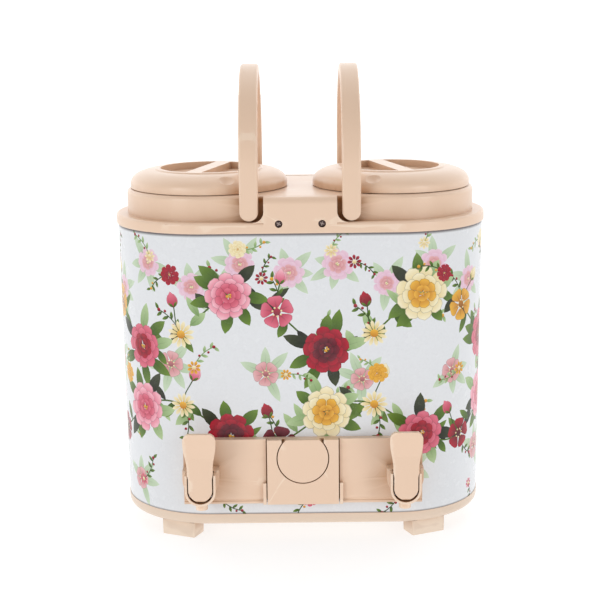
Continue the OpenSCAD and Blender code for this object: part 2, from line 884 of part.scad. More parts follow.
module tap_body() {
    difference() {
        union() {
            slab(panel_y, root_out) u_2d(root_half, tap_z - root_drop + root_half, tap_z + root_rise);
            slab(root_y + frame_root, root_y + frame_root - frame_y)
                u_2d(frame_half, tongue_z, tap_z + frame_rise);
            rod(0, shank_back, tap_z, shank_r, shank_back + 1 - panel_y);
            translate([0, spout_y, tap_z - spout_drop]) cylinder(r = spout_r, h = spout_drop - chamber_r);
        }
        slab(root_y, far) u_2d(tongue_half + lever_gap, tongue_z, tap_z + far);
        rod(0, 0, tap_z, bore_r, far / 2);
        rod(0, valve_y, tap_z, chamber_r, far / 2);
        translate([0, spout_y, tap_z - spout_drop - 1]) cylinder(r = spout_bore, h = spout_drop + 1);
        translate([-far / 2, lever_pin_y, lever_pin_z]) rotate([0, 90, 0])
            cylinder(r = lever_pin_r + running_gap, h = far);
    }
}

module tap_nut() {
    difference() {
        translate([0, washer_y + nut_t, tap_z]) rotate([90, 0, 0]) cylinder(r = nut_r, h = nut_t, $fn = 6);
        rod(0, 0, tap_z, shank_r + running_gap, far);
    }
}

// shaped to the tank's curved wall on one side and flat for the nut on the other
module tap_washer(side) {
    difference() {
        intersection() {
            rod(0, washer_y, tap_z, washer_r, tank_r + washer_y);
            translate([-side * (tap_x - end_span), 0, tap_z - washer_r - 1])
                cylinder(r = tank_r, h = 2 * washer_r + 2);
        }
        rod(0, 0, tap_z, shank_r + running_gap, far);
    }
}

module tap_bonnet() {
    difference() {
        rod(0, root_y + bonnet_t, tap_z, chamber_r - running_gap, bonnet_t);
        rod(0, 0, tap_z, stem_r + running_gap, far);
    }
}

// half width of the lever's outline, from its waist at 0 to its pad at 1
function lever_half(t) = waist_half + (pad_half - waist_half) * (0.5 - 0.5 * cos(180 * t));

module lever_2d() {
    low = tap_z + waist_rise;
    top = tap_z + lever_rise;
    high = top - pad_h;
    side = [for (i = [0 : 10]) [lever_half(i / 10), low + (high - low) * i / 10]];
    edge = concat([[tongue_half, foot_top], [waist_half, tap_z + frame_rise + frame_set]], side,
        [[pad_half, top - 1.25 * pad_corner], [pad_half - 0.35 * pad_corner, top - 0.5 * pad_corner],
        [pad_half - pad_corner, top]]);
    polygon(concat(edge, [for (i = [len(edge) - 1 : -1 : 0]) [-edge[i].x, edge[i].y]]));
}

// the room left for the lever's foot in its frame once the lever is tilted
module tilted_frame() {
    translate([0, lever_pin_y, lever_pin_z]) rotate([-lever_tilt, 0, 0])
        translate([0, -lever_pin_y, -lever_pin_z])
            slab(0, far) u_2d(tongue_half + lever_gap / 3, tongue_z, tap_z + far);
}

module lever() {
    difference() {
        union() {
            intersection() {
                slab(lever_back, hub_t) u_2d(tongue_half, tongue_z, foot_top);
                tilted_frame();
                bar(far) {
                    translate([lever_pin_y, lever_pin_z]) circle(hub_r);
                    box_2d([lever_y, lever_pin_z], [lever_back, foot_top]);
                }
            }
            intersection() {
                slab(lever_back, far) lever_2d();
                bar(far) polygon([
                    [lever_y, tap_z],
                    [lever_y + lever_t, tap_z],
                    [lever_y + lever_t, bend_z],
                    [lever_y + lever_t - pad_lead, bend_z + lever_len],
                    [lever_y - pad_lead, bend_z + lever_len],
                    [lever_y, bend_z]]);
            }
        }
        for (hole = [[lever_pin_z, lever_pin_r + running_gap], [socket_z, socket_r]])
            translate([-far / 2, lever_pin_y, hole[0]]) rotate([0, 90, 0]) cylinder(r = hole[1], h = far);
        translate([-stem_r - slot_gap, lever_pin_y, tap_z - slot_low])
            cube([2 * (stem_r + slot_gap), hub_t, slot_low + slot_high]);
    }
}

module lever_pin() {
    reach = sqrt(frame_half * frame_half - pow(tongue_z - lever_pin_z, 2)) - pin_end_gap;
    translate([-reach, lever_pin_y, lever_pin_z]) rotate([0, 90, 0])
        cylinder(r = lever_pin_r, h = 2 * reach);
}

module valve_stem() {
    rod(0, valve_y - seat_gap, tap_z, stem_r, valve_y - seat_gap - lever_pin_y);
    rod(0, valve_y - seat_gap - valve_t, tap_z, valve_r - stem_collar_in, stem_collar);
    translate([0, lever_pin_y, tap_z]) sphere(ball_r);
}

module valve_seal() {
    difference() {
        rod(0, valve_y - seat_gap, tap_z, valve_r, valve_t);
        rod(0, 0, tap_z, stem_r, far);
    }
}

// the return spring's coil, swept along the stem
module valve_spring() {
    steps = 20 * spring_turns;
    ring = 6;
    y0 = valve_y - seat_gap - valve_t - stem_collar - wire_r;
    y1 = root_y + bonnet_t + wire_r;
    points = [for (i = [0 : steps]) for (k = [0 : ring - 1])
        let (turn = 360 * spring_turns * i / steps,
            r = spring_r + wire_r * cos(360 * k / ring))
        [r * cos(turn), y0 + (y1 - y0) * i / steps + wire_r * sin(360 * k / ring), r * sin(turn)]];
    sides = [for (i = [0 : steps - 1]) for (k = [0 : ring - 1])
        let (a = i * ring + k, b = i * ring + (k + 1) % ring)
        each [[a, a + ring, b], [b, a + ring, b + ring]]];
    caps = [[for (k = [0 : ring - 1]) k], [for (k = [ring - 1 : -1 : 0]) steps * ring + k]];
    translate([0, 0, tap_z]) polyhedron(points, concat(sides, caps));
}

module left_tap_body() {
    at_tap(-1, plastic) tap_body();
}

module left_tap_nut() {
    at_tap(-1, [0.94, 0.93, 0.90]) tap_nut();
}

module left_tap_washer() {
    at_tap(-1, [0.86, 0.86, 0.84]) tap_washer(-1);
}

module left_tap_bonnet() {
    at_tap(-1, [0.94, 0.93, 0.90]) tap_bonnet();
}

module left_lever() {
    at_tap(-1, plastic) lever();
}

module left_lever_pin() {
    at_tap(-1, [0.75, 0.75, 0.76]) lever_pin();
}

module left_valve_stem() {
    at_tap(-1, [0.94, 0.93, 0.90]) valve_stem();
}

module left_valve_seal() {
    at_tap(-1, [0.86, 0.86, 0.84]) valve_seal();
}

module left_valve_spring() {
    at_tap(-1, [0.70, 0.70, 0.72]) valve_spring();
}

module right_tap_body() {
    at_tap(1, plastic) tap_body();
}

module right_tap_nut() {
    at_tap(1, [0.94, 0.93, 0.90]) tap_nut();
}

module right_tap_washer() {
    at_tap(1, [0.86, 0.86, 0.84]) tap_washer(1);
}

module right_tap_bonnet() {
    at_tap(1, [0.94, 0.93, 0.90]) tap_bonnet();
}

module right_lever() {
    at_tap(1, plastic) lever();
}

module right_lever_pin() {
    at_tap(1, [0.75, 0.75, 0.76]) lever_pin();
}

module right_valve_stem() {
    at_tap(1, [0.94, 0.93, 0.90]) valve_stem();
}

module right_valve_seal() {
    at_tap(1, [0.86, 0.86, 0.84]) valve_seal();
}

module right_valve_spring() {
    at_tap(1, [0.70, 0.70, 0.72]) valve_spring();
}

base_tray();
foot_front_left();
foot_front_right();
foot_rear_left();
foot_rear_right();
foot_screws();
outer_shell();
foam_core();
left_liner();
right_liner();
neck_frame();
collar();
collar_screws();
front_panel();
cup_rest();
cup_rest_pins();
left_handle();
right_handle();
left_lid_cap();
left_lid_plug();
left_lid_foam();
left_lid_seal();
right_lid_cap();
right_lid_plug();
right_lid_foam();
right_lid_seal();
left_tap_body();
left_tap_nut();
left_tap_washer();
left_tap_bonnet();
left_lever();
left_lever_pin();
left_valve_stem();
left_valve_seal();
left_valve_spring();
right_tap_body();
right_tap_nut();
right_tap_washer();
right_tap_bonnet();
right_lever();
right_lever_pin();
right_valve_stem();
right_valve_seal();
right_valve_spring();
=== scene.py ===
import heapq
import json
import math
import random

import bmesh
import bpy
from mathutils import Euler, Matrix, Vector
from mathutils.bvhtree import BVHTree
from mathutils.geometry import delaunay_2d_cdt


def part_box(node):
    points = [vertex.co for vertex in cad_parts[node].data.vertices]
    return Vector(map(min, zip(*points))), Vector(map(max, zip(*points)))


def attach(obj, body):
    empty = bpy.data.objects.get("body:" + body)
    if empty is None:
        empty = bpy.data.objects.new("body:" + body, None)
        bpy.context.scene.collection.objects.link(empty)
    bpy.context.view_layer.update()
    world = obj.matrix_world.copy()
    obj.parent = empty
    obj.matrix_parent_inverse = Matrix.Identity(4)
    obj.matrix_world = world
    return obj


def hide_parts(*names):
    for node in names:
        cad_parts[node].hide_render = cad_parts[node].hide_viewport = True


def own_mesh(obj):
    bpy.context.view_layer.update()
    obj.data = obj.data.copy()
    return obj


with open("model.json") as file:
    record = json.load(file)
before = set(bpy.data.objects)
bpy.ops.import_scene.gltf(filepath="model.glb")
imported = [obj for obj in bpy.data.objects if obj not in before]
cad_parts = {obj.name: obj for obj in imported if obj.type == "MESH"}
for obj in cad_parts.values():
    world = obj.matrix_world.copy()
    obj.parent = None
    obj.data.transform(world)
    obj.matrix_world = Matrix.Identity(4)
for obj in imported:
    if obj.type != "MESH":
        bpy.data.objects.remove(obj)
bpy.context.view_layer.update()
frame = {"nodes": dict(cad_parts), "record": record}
print("frame loaded with", len(frame["nodes"]), "nodes")

nodeBody = {node: body for body, nodes in frame["record"]["behaviour"]["bodies"].items() for node in nodes}
nodeSlot = {part["node"]: part["material_slot"] for part in frame["record"]["subparts"]}
sheetLow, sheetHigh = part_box("outer_shell")
bodyY = (sheetLow.y + sheetHigh.y) / 2


def srgb(red, green, blue):
    # 0-255 picture values to the linear colours that shaders use
    lin = [v / 3294.6 if v <= 10.3 else ((v / 255 + 0.055) / 1.055) ** 2.4 for v in (red, green, blue)]
    return (*lin, 1.0)


# node helpers

def newGroup(name, inputs, outputs):
    # a tuple makes a colour input, a number a plain one
    group = bpy.data.node_groups.new(name, "ShaderNodeTree")
    for title, value in inputs.items():
        kind = "NodeSocketColor" if isinstance(value, tuple) else "NodeSocketFloat"
        group.interface.new_socket(title, in_out="INPUT", socket_type=kind).default_value = value
    for title, kind in outputs.items():
        group.interface.new_socket(title, in_out="OUTPUT", socket_type="NodeSocket" + kind)
    return group, group.nodes.new("NodeGroupInput"), group.nodes.new("NodeGroupOutput")


def addNode(tree, kind, **settings):
    node = tree.nodes.new(kind)
    for key, value in settings.items():
        if key in node.inputs:
            node.inputs[key].default_value = value
        else:
            setattr(node, key, value)
    return node


def feed(tree, socket, value):
    # a plain value is set, another node's output is linked
    if isinstance(value, (int, float, tuple)):
        socket.default_value = value
    else:
        tree.links.new(value, socket)


def objectCoords(tree):
    return tree.nodes.new("ShaderNodeTexCoord").outputs["Object"]


def setInputs(node, **values):
    for key, value in values.items():
        node.inputs[key.replace("_", " ")].default_value = value


def addBump(tree, shader, height, strength, depth):
    bump = addNode(tree, "ShaderNodeBump", Strength=strength, Distance=depth)
    tree.links.new(height, bump.inputs["Height"])
    tree.links.new(bump.outputs["Normal"], shader.inputs["Normal"])


def addNoise(tree, coords, scale, detail, rough):
    noise = addNode(tree, "ShaderNodeTexNoise", Detail=detail, Roughness=rough)
    tree.links.new(coords, noise.inputs["Vector"])
    feed(tree, noise.inputs["Scale"], scale)
    return noise.outputs["Fac"]


def addMath(tree, operation, first, second):
    node = addNode(tree, "ShaderNodeMath", operation=operation)
    feed(tree, node.inputs[0], first)
    feed(tree, node.inputs[1], second)
    return node.outputs[0]


def addMix(tree, factor, first, second):
    node = addNode(tree, "ShaderNodeMix", data_type="RGBA")
    for slot, value in ((0, factor), (6, first), (7, second)):  # 6, 7 and output 2 are its colour sockets
        feed(tree, node.inputs[slot], value)
    return node.outputs[2]


def addRange(tree, value, low, high, outLow, outHigh):
    node = tree.nodes.new("ShaderNodeMapRange")
    for title, source in (("Value", value), ("From Min", low), ("From Max", high), ("To Min", outLow),
                          ("To Max", outHigh)):
        feed(tree, node.inputs[title], source)
    return node.outputs["Result"]


# shared effects

skinMarks = {"flow": (3.0, 0.55), "haze": (55.0, 4.0, 0.6), "grain": (2.0, 0.5),
             "flowSpan": (0.35, 0.7, 0.0, 0.55), "speckSpan": (0.3, 0.7, 0.0, 0.10), "hazeSpan": (0.35, 0.65),
             "grainHeight": 0.35, "highlightSpan": (0.52, 0.60)}


def makeMouldedSkin():
    # flow marks, fine spark-eroded grain and faint handling haze of moulded plastic
    group, gin, gout = newGroup("mouldedSkin", {
        "Colour": (0.8, 0.7, 0.6, 1), "Shift": (0.7, 0.6, 0.5, 1), "Flow Scale": 14.0, "Grain Scale": 1400.0,
        "Rough Low": 0.3, "Rough High": 0.42}, {"Colour": "Color", "Roughness": "Float", "Height": "Float"})
    coords = objectCoords(group)
    flow = addNoise(group, coords, gin.outputs["Flow Scale"], *skinMarks["flow"])
    haze = addNoise(group, coords, *skinMarks["haze"])
    grain = addNoise(group, coords, gin.outputs["Grain Scale"], *skinMarks["grain"])
    amount = addRange(group, flow, *skinMarks["flowSpan"])
    tinted = addMix(group, amount, gin.outputs["Colour"], gin.outputs["Shift"])
    speck = addRange(group, grain, *skinMarks["speckSpan"])
    group.links.new(addMix(group, speck, tinted, gin.outputs["Shift"]), gout.inputs["Colour"])
    rough = addRange(group, haze, *skinMarks["hazeSpan"], gin.outputs["Rough Low"], gin.outputs["Rough High"])
    group.links.new(rough, gout.inputs["Roughness"])
    fine = addMath(group, "MULTIPLY", grain, skinMarks["grainHeight"])
    group.links.new(addMath(group, "ADD", fine, flow), gout.inputs["Height"])
    return group


def makePaintedLightAndGrime():
    # painted highlights on edges from the mesh's curvature, painted shade in hollows, and grime with painted
    # shade in narrow gaps
    group, gin, gout = newGroup("paintedLightAndGrime", {
        "Colour": (0.8, 0.7, 0.6, 1), "Rub": (0.9, 0.85, 0.8, 1), "Hollow": (0.6, 0.5, 0.4, 1),
        "Grime": (0.4, 0.3, 0.2, 1), "Rub Amount": 0.3, "Hollow Amount": 0.3, "Grime Amount": 0.3},
        {"Colour": "Color"})
    point = group.nodes.new("ShaderNodeNewGeometry").outputs["Pointiness"]
    # painted highlight on convex edges
    proud = addRange(group, point, *skinMarks["highlightSpan"], 0.0, 1.0)
    edge = addMath(group, "MULTIPLY", proud, gin.outputs["Rub Amount"])
    hollow = addNode(group, "ShaderNodeAttribute", attribute_name="hollow").outputs["Fac"]
    crevice = addNode(group, "ShaderNodeAttribute", attribute_name="crevice").outputs["Fac"]
    # painted shade in wide hollows
    dip = addMath(group, "MULTIPLY", hollow, gin.outputs["Hollow Amount"])
    # grime with painted shade in narrow gaps
    pit = addMath(group, "MULTIPLY", crevice, gin.outputs["Grime Amount"])
    highlighted = addMix(group, edge, gin.outputs["Colour"], gin.outputs["Rub"])
    deep = addMix(group, dip, highlighted, gin.outputs["Hollow"])
    group.links.new(addMix(group, pit, deep, gin.outputs["Grime"]), gout.inputs["Colour"])
    return group


mouldedSkin = makeMouldedSkin()
paintedLightAndGrime = makePaintedLightAndGrime()


def startMaterial(name):
    material = bpy.data.materials.new(name)
    material.use_nodes = True
    tree = material.node_tree
    return material, tree, tree.nodes["Principled BSDF"]


noiseSpan = (0.3, 0.7)  # where most of a noise's values lie
mouldedFinish = {"floorReflectSpan": (0.021, 0.030), "bumpDepth": 0.0004, "ior": 1.48, "gapSpan": (0.1, 0.7),
                 "coatRough": 0.2, "glowRadius": (0.004, 0.002, 0.001), "glowScale": 0.5}


def makeMoulded(name, look):
    finish = mouldedFinish
    material, tree, shader = startMaterial(name)
    skin = addNode(tree, "ShaderNodeGroup", node_tree=mouldedSkin)
    setInputs(skin, Colour=look["colour"], Shift=look["shift"], Flow_Scale=look["flowScale"],
              Grain_Scale=look["grainScale"], Rough_Low=look["rough"][0], Rough_High=look["rough"][1])
    # painted edge highlights, painted shade in hollows, and grime with painted shade in narrow gaps
    edge = addNode(tree, "ShaderNodeGroup", node_tree=paintedLightAndGrime)
    for title in ("Rub", "Hollow", "Grime"):
        edge.inputs[title].default_value = look[title.lower()]
        edge.inputs[title + " Amount"].default_value = look[title.lower() + "Amount"]
    height = tree.nodes.new("ShaderNodeSeparateXYZ")
    tree.links.new(objectCoords(tree), height.inputs[0])
    tint, amount = look["low"]
    low = addRange(tree, height.outputs["Z"], *finish["floorReflectSpan"], amount, 0.0)  # painted floor reflection: paler and greyer near the floor
    tree.links.new(addMix(tree, low, skin.outputs["Colour"], tint), edge.inputs["Colour"])
    tree.links.new(edge.outputs["Colour"], shader.inputs["Base Color"])
    addBump(tree, shader, skin.outputs["Height"], look["bump"], finish["bumpDepth"])
    gap = addNode(tree, "ShaderNodeAttribute", attribute_name="crevice").outputs["Fac"]
    matt = addRange(tree, gap, *finish["gapSpan"], 0.0, 1.0)  # no gloss in narrow gaps
    tree.links.new(addMath(tree, "MAXIMUM", skin.outputs["Roughness"], matt), shader.inputs["Roughness"])
    coat = addRange(tree, gap, *finish["gapSpan"], look["coat"], 0.0)
    tree.links.new(coat, shader.inputs["Coat Weight"])
    setInputs(shader, IOR=finish["ior"], Coat_Roughness=finish["coatRough"],
              Subsurface_Weight=look["glow"], Subsurface_Radius=finish["glowRadius"],
              Subsurface_Scale=finish["glowScale"])
    return material


allAlike = (srgb(238, 236, 229), 0.0)  # no painted floor reflection near the floor
# in each look the edge colour is a painted highlight, the hollow colour painted shade, the gap colour grime
# with painted shade
beigeLook = {
    "colour": srgb(231, 201, 176), "shift": srgb(229, 198, 172), "flowScale": 9.0, "grainScale": 1300.0,
    "rough": (0.29, 0.34), "rub": srgb(246, 228, 208), "rubAmount": 0.4, "hollow": srgb(182, 134, 86),
    "hollowAmount": 0.65, "grime": srgb(150, 92, 34), "grimeAmount": 0.9, "low": (srgb(218, 203, 186), 0.6),
    "bump": 0.04, "coat": 0.15, "glow": 0.0}
whiteLook = {
    "colour": srgb(238, 236, 229), "shift": srgb(228, 225, 216), "flowScale": 12.0, "grainScale": 1100.0,
    "rough": (0.42, 0.55), "rub": srgb(248, 247, 243), "rubAmount": 0.25, "hollow": srgb(206, 202, 190),
    "hollowAmount": 0.4, "grime": srgb(176, 170, 156), "grimeAmount": 0.35, "low": allAlike,
    "bump": 0.06, "coat": 0.0, "glow": 0.04}
tankLook = {
    "colour": srgb(240, 240, 236), "shift": srgb(231, 231, 227), "flowScale": 7.0, "grainScale": 900.0,
    "rough": (0.24, 0.34), "rub": srgb(250, 250, 248), "rubAmount": 0.2, "hollow": srgb(214, 213, 207),
    "hollowAmount": 0.3, "grime": srgb(190, 188, 180), "grimeAmount": 0.25, "low": allAlike,
    "bump": 0.03, "coat": 0.1, "glow": 0.04}
siliconeLook = {
    "colour": srgb(222, 220, 214), "shift": srgb(210, 207, 200), "flowScale": 20.0, "grainScale": 1600.0,
    "rough": (0.5, 0.65), "rub": srgb(236, 235, 231), "rubAmount": 0.2, "hollow": srgb(186, 182, 174),
    "hollowAmount": 0.3, "grime": srgb(160, 156, 148), "grimeAmount": 0.4, "low": allAlike,
    "bump": 0.08, "coat": 0.0, "glow": 0.12}
foamLook = {"cells": 900.0, "age": (16.0, 4.0, 0.6), "fresh": srgb(240, 230, 182), "old": srgb(224, 206, 146),
            "pore": srgb(188, 166, 104), "poreSpan": (0.0, 0.6, 0.35, 0.0), "bump": 0.5, "bumpDepth": 0.0005,
            "rough": 0.9}


def makeFoam():
    # cut foam: open cells and a yellowed skin
    material, tree, shader = startMaterial("pouredFoam")
    coords = objectCoords(tree)
    cells = addNode(tree, "ShaderNodeTexVoronoi", Scale=foamLook["cells"])
    tree.links.new(coords, cells.inputs["Vector"])
    age = addNoise(tree, coords, *foamLook["age"])
    colour = addMix(tree, addRange(tree, age, *noiseSpan, 0.0, 1.0), foamLook["fresh"], foamLook["old"])
    dark = addRange(tree, cells.outputs["Distance"], *foamLook["poreSpan"])
    tree.links.new(addMix(tree, dark, colour, foamLook["pore"]), shader.inputs["Base Color"])
    addBump(tree, shader, cells.outputs["Distance"], foamLook["bump"], foamLook["bumpDepth"])
    setInputs(shader, Roughness=foamLook["rough"])
    return material


metalMarks = {"streak": (4.0, 0.6), "stain": (120.0, 3.0, 0.5), "stainSpan": (0.5, 0.8, 0.0, 0.4),
              "bump": 0.15, "bumpDepth": 0.0002}


def makeMetal(name, look):
    # drawn or turned steel: fine streaks in roughness and tone
    material, tree, shader = startMaterial(name)
    coords = objectCoords(tree)
    stretch = addNode(tree, "ShaderNodeMapping", Scale=look["stretch"])
    tree.links.new(coords, stretch.inputs["Vector"])
    streak = addNoise(tree, stretch.outputs["Vector"], look["scale"], *metalMarks["streak"])
    stain = addNoise(tree, coords, *metalMarks["stain"])
    tone = addMix(tree, addRange(tree, streak, *noiseSpan, 0.0, 1.0), look["dark"], look["light"])
    dull = addRange(tree, stain, *metalMarks["stainSpan"])
    bare = addNode(tree, "ShaderNodeAttribute", attribute_name="bareSteel").outputs["Fac"]
    stained = addMix(tree, dull, tone, look["dark"])
    tree.links.new(addMix(tree, bare, stained, look["bare"]), shader.inputs["Base Color"])
    tree.links.new(addRange(tree, streak, *noiseSpan, *look["rough"]), shader.inputs["Roughness"])
    addBump(tree, shader, streak, metalMarks["bump"], metalMarks["bumpDepth"])
    setInputs(shader, Metallic=look["metallic"])
    return material


steelLook = {"dark": srgb(150, 150, 152), "light": srgb(205, 205, 207), "stretch": (1, 30, 30),
             "scale": 120.0, "rough": (0.22, 0.4), "metallic": 1.0, "bare": srgb(205, 205, 207)}
darkSteelLook = {"dark": srgb(46, 34, 36), "light": srgb(98, 80, 80), "stretch": (1, 1, 1), "scale": 400.0,
                 "rough": (0.3, 0.5), "metallic": 0.7, "bare": srgb(176, 160, 154)}
sheetFinish = {"wash": (60.0, 4.0, 0.6), "washSpan": (0.3, 0.7, 0.0, 0.03), "washTint": srgb(250, 248, 246),
               "fibre": (420.0, 3.0, 0.6), "fibreSpan": (0.45, 0.75, 0.0, 0.05),
               "fibreTint": srgb(120, 110, 112), "rim": (0.0030, 0.0010, 0.85),
               "foot": (0.0016, 0.0003, 0.6), "contactShadow": srgb(78, 70, 72), "rough": (0.20, 0.30),
               "wave": (11.0, 2.0, 0.4), "bump": 0.12, "bumpDepth": 0.003, "ior": 1.45, "specular": 0.35}


def makePrintedSheet():
    # inks carried in the mesh's own colours, under a clear gloss, on gently wavy sheet
    look = sheetFinish
    material, tree, shader = startMaterial("printedSheet")
    printed = addNode(tree, "ShaderNodeAttribute", attribute_name="printInk")
    coords = objectCoords(tree)
    wash = addNoise(tree, coords, *look["wash"])
    fibre = addNoise(tree, coords, *look["fibre"])
    uneven = addRange(tree, wash, *look["washSpan"])
    mottled = addMix(tree, uneven, printed.outputs["Color"], look["washTint"])
    grit = addRange(tree, fibre, *look["fibreSpan"])
    gritty = addMix(tree, grit, mottled, look["fibreTint"])
    height = tree.nodes.new("ShaderNodeSeparateXYZ")
    tree.links.new(coords, height.inputs[0])
    far, near, amount = look["rim"]  # painted shadow line under the collar
    rim = addRange(tree, height.outputs["Z"], sheetHigh.z - far, sheetHigh.z - near, 0.0, amount)
    far, near, amount = look["foot"]  # and a painted shadow line over the base
    foot = addRange(tree, height.outputs["Z"], sheetLow.z + far, sheetLow.z + near, 0.0, amount)
    # painted shadow lines darken the sheet at both edges
    shadowLined = addMix(tree, addMath(tree, "MAXIMUM", rim, foot), gritty, look["contactShadow"])
    tree.links.new(shadowLined, shader.inputs["Base Color"])
    tree.links.new(addRange(tree, wash, *noiseSpan, *look["rough"]), shader.inputs["Roughness"])
    wave = addNoise(tree, coords, *look["wave"])
    addBump(tree, shader, wave, look["bump"], look["bumpDepth"])
    setInputs(shader, IOR=look["ior"], Specular_IOR_Level=look["specular"])
    return material


materials = {
    "beige_plastic": makeMoulded("beigePlastic", beigeLook),
    "white_plastic": makeMoulded("whitePlastic", whiteLook),
    "tank_plastic": makeMoulded("tankPlastic", tankLook),
    "silicone": makeMoulded("paleSilicone", siliconeLook),
    "foam": makeFoam(),
    "steel": makeMetal("brightSteel", steelLook),
    "dark_screws": makeMetal("blackenedSteel", darkSteelLook),
    "printed_sheet": makePrintedSheet(),
}
print("materials ready:", len(materials))


# CAD nodes that stay as they are, and softened copies of the moulded ones

def newObject(name, data):
    thing = bpy.data.objects.new(name, data)
    bpy.context.scene.collection.objects.link(thing)
    return thing


def newPiece(name, mesh, material):
    piece = newObject(name, mesh)
    mesh.materials.clear()
    mesh.materials.append(material)
    return piece


def bakeModifiers(piece):
    bpy.context.view_layer.update()
    evaluated = piece.evaluated_get(bpy.context.evaluated_depsgraph_get())
    mesh = bpy.data.meshes.new_from_object(evaluated)
    piece.modifiers.clear()
    piece.data = mesh
    return mesh


def placePiece(piece, body, slot, *nodes):
    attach(piece, body)
    if nodes:
        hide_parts(*nodes)


def shadeByAngle(mesh, degrees):
    mesh.polygons.foreach_set("use_smooth", [True] * len(mesh.polygons))
    mesh.set_sharp_from_angle(angle=math.radians(degrees))


softEdges = {"weld": 1.5e-5, "dissolve": 0.4, "segments": 3, "sharp": 38, "splits": 7, "flat": 0.0005}
oldShading = ("custom_normal", "sharp_edge", "sharp_face")


def splitLong(mesh, longest):
    # cuts long edges until none is over the limit, so that shading and corner values follow the form
    work = bmesh.new()
    work.from_mesh(mesh)
    bmesh.ops.triangulate(work, faces=work.faces)
    for _ in range(softEdges["splits"]):
        edges = [edge for edge in work.edges if edge.calc_length() > longest]
        if not edges:
            break
        bmesh.ops.subdivide_edges(work, edges=edges, cuts=1)
        bmesh.ops.triangulate(work, faces=[face for face in work.faces if len(face.verts) > 3])
    flat = [edge for edge in work.edges if edge.is_manifold and edge.calc_face_angle() < softEdges["flat"]]
    bmesh.ops.beautify_fill(work, faces=work.faces, edges=flat, method="ANGLE")
    work.to_mesh(mesh)
    work.free()


def softCopy(node, width, longest):
    # a merged copy of a CAD node with its edges rounded as a mould leaves them
    mesh = frame["nodes"][node].data.copy()
    for layer in [layer.name for layer in mesh.attributes if layer.name in oldShading]:
        mesh.attributes.remove(mesh.attributes[layer])
    work = bmesh.new()
    work.from_mesh(mesh)
    bmesh.ops.remove_doubles(work, verts=work.verts, dist=softEdges["weld"])
    turn = math.radians(softEdges["dissolve"])
    bmesh.ops.dissolve_limit(work, angle_limit=turn, verts=work.verts, edges=work.edges)
    work.to_mesh(mesh)
    work.free()
    piece = newPiece(node + "_moulded", mesh, materials[nodeSlot[node]])
    bevel = piece.modifiers.new("softEdges", "BEVEL")
    bevel.width = width
    bevel.segments = softEdges["segments"]
    bevel.limit_method = "ANGLE"
    bevel.angle_limit = math.radians(softEdges["sharp"])
    bevel.use_clamp_overlap = True
    bevel.face_strength_mode = "FSTR_ALL"
    mesh = bakeModifiers(piece)
    splitLong(mesh, longest)
    shadeByAngle(mesh, softEdges["sharp"])
    level = piece.modifiers.new("flatFaces", "WEIGHTED_NORMAL")
    level.keep_sharp = True
    level.use_face_influence = True  # flat faces stay flat up to their rounded edges
    bakeModifiers(piece)
    placePiece(piece, nodeBody[node], nodeSlot[node], node)
    return piece


softNodes = {  # edge radius and longest mesh edge in metres for each moulded piece
    "base_tray": (0.0006, 0.020), "collar": (0.0007, 0.008), "front_panel": (0.0008, 0.007),
    "cup_rest": (0.0007, 0.004), "neck_frame": (0.0006, 0.030), "foot_front_left": (0.0012, 0.010),
    "foot_front_right": (0.0012, 0.010), "foot_rear_left": (0.0012, 0.010),
    "foot_rear_right": (0.0012, 0.010), "left_handle": (0.0005, 0.010), "right_handle": (0.0005, 0.010),
    "left_lid_cap": (0.0009, 0.010), "right_lid_cap": (0.0009, 0.010), "left_tap_body": (0.0006, 0.006),
    "right_tap_body": (0.0006, 0.006), "left_lever": (0.0007, 0.005), "right_lever": (0.0007, 0.005),
}
softPieces = {node: softCopy(node, *sizes) for node, sizes in softNodes.items()}
print("moulded pieces softened:", len(softNodes))

creviceBake = {
    "rays": 12, "turn": 2.39996, "near": 0.008, "wide": 0.03, "lift": 0.0003, "nearSpan": (0.45, 0.85),
    "wideSpan": (0.12, 0.75), "nearBlur": 2, "wideBlur": 6, "skip": ("neck_frame",), "shutSpan": (0.84, 0.96),
    "shutBlur": 1, "shutReach": (0.004, 0.008),  # shut-in faces get no grime or painted shade from this far in
    "lifted": ("left_lid_cap", "right_lid_cap"),  # often off, so they leave no grime or painted shade on the rest
}


def blurValues(mesh, values, rounds):
    # every point takes the mean of itself and its neighbours
    for _ in range(rounds):
        sums, counts = list(values), [1] * len(values)
        for edge in mesh.edges:
            a, b = edge.vertices
            sums[a] += values[b]
            sums[b] += values[a]
            counts[a] += 1
            counts[b] += 1
        values = [total / count for total, count in zip(sums, counts)]
    return values


def spanValues(values, low, high):
    return [min(max((value - low) / (high - low), 0.0), 1.0) for value in values]


def depthInside(mesh, shut):
    # how far along the surface each shut-in point lies from the nearest open one
    links = [[] for _ in shut]
    for edge in mesh.edges:
        a, b = edge.vertices
        run = (mesh.vertices[a].co - mesh.vertices[b].co).length
        links[a].append((b, run))
        links[b].append((a, run))
    depth = [0.0 if closed < 0.5 else 1.0 for closed in shut]
    heap = [(0.0, i) for i, closed in enumerate(shut) if closed < 0.5]
    while heap:
        far, i = heapq.heappop(heap)
        if far > depth[i]:
            continue
        for mate, run in links[i]:
            if far + run < depth[mate]:
                depth[mate] = far + run
                heapq.heappush(heap, (far + run, mate))
    return depth


def treeOf(pieces):
    verts, polys = [], []
    for piece in pieces:
        start = len(verts)
        verts += [v.co.copy() for v in piece.data.vertices]
        polys += [[start + v for v in p.vertices] for p in piece.data.polygons]
    return BVHTree.FromPolygons(verts, polys)


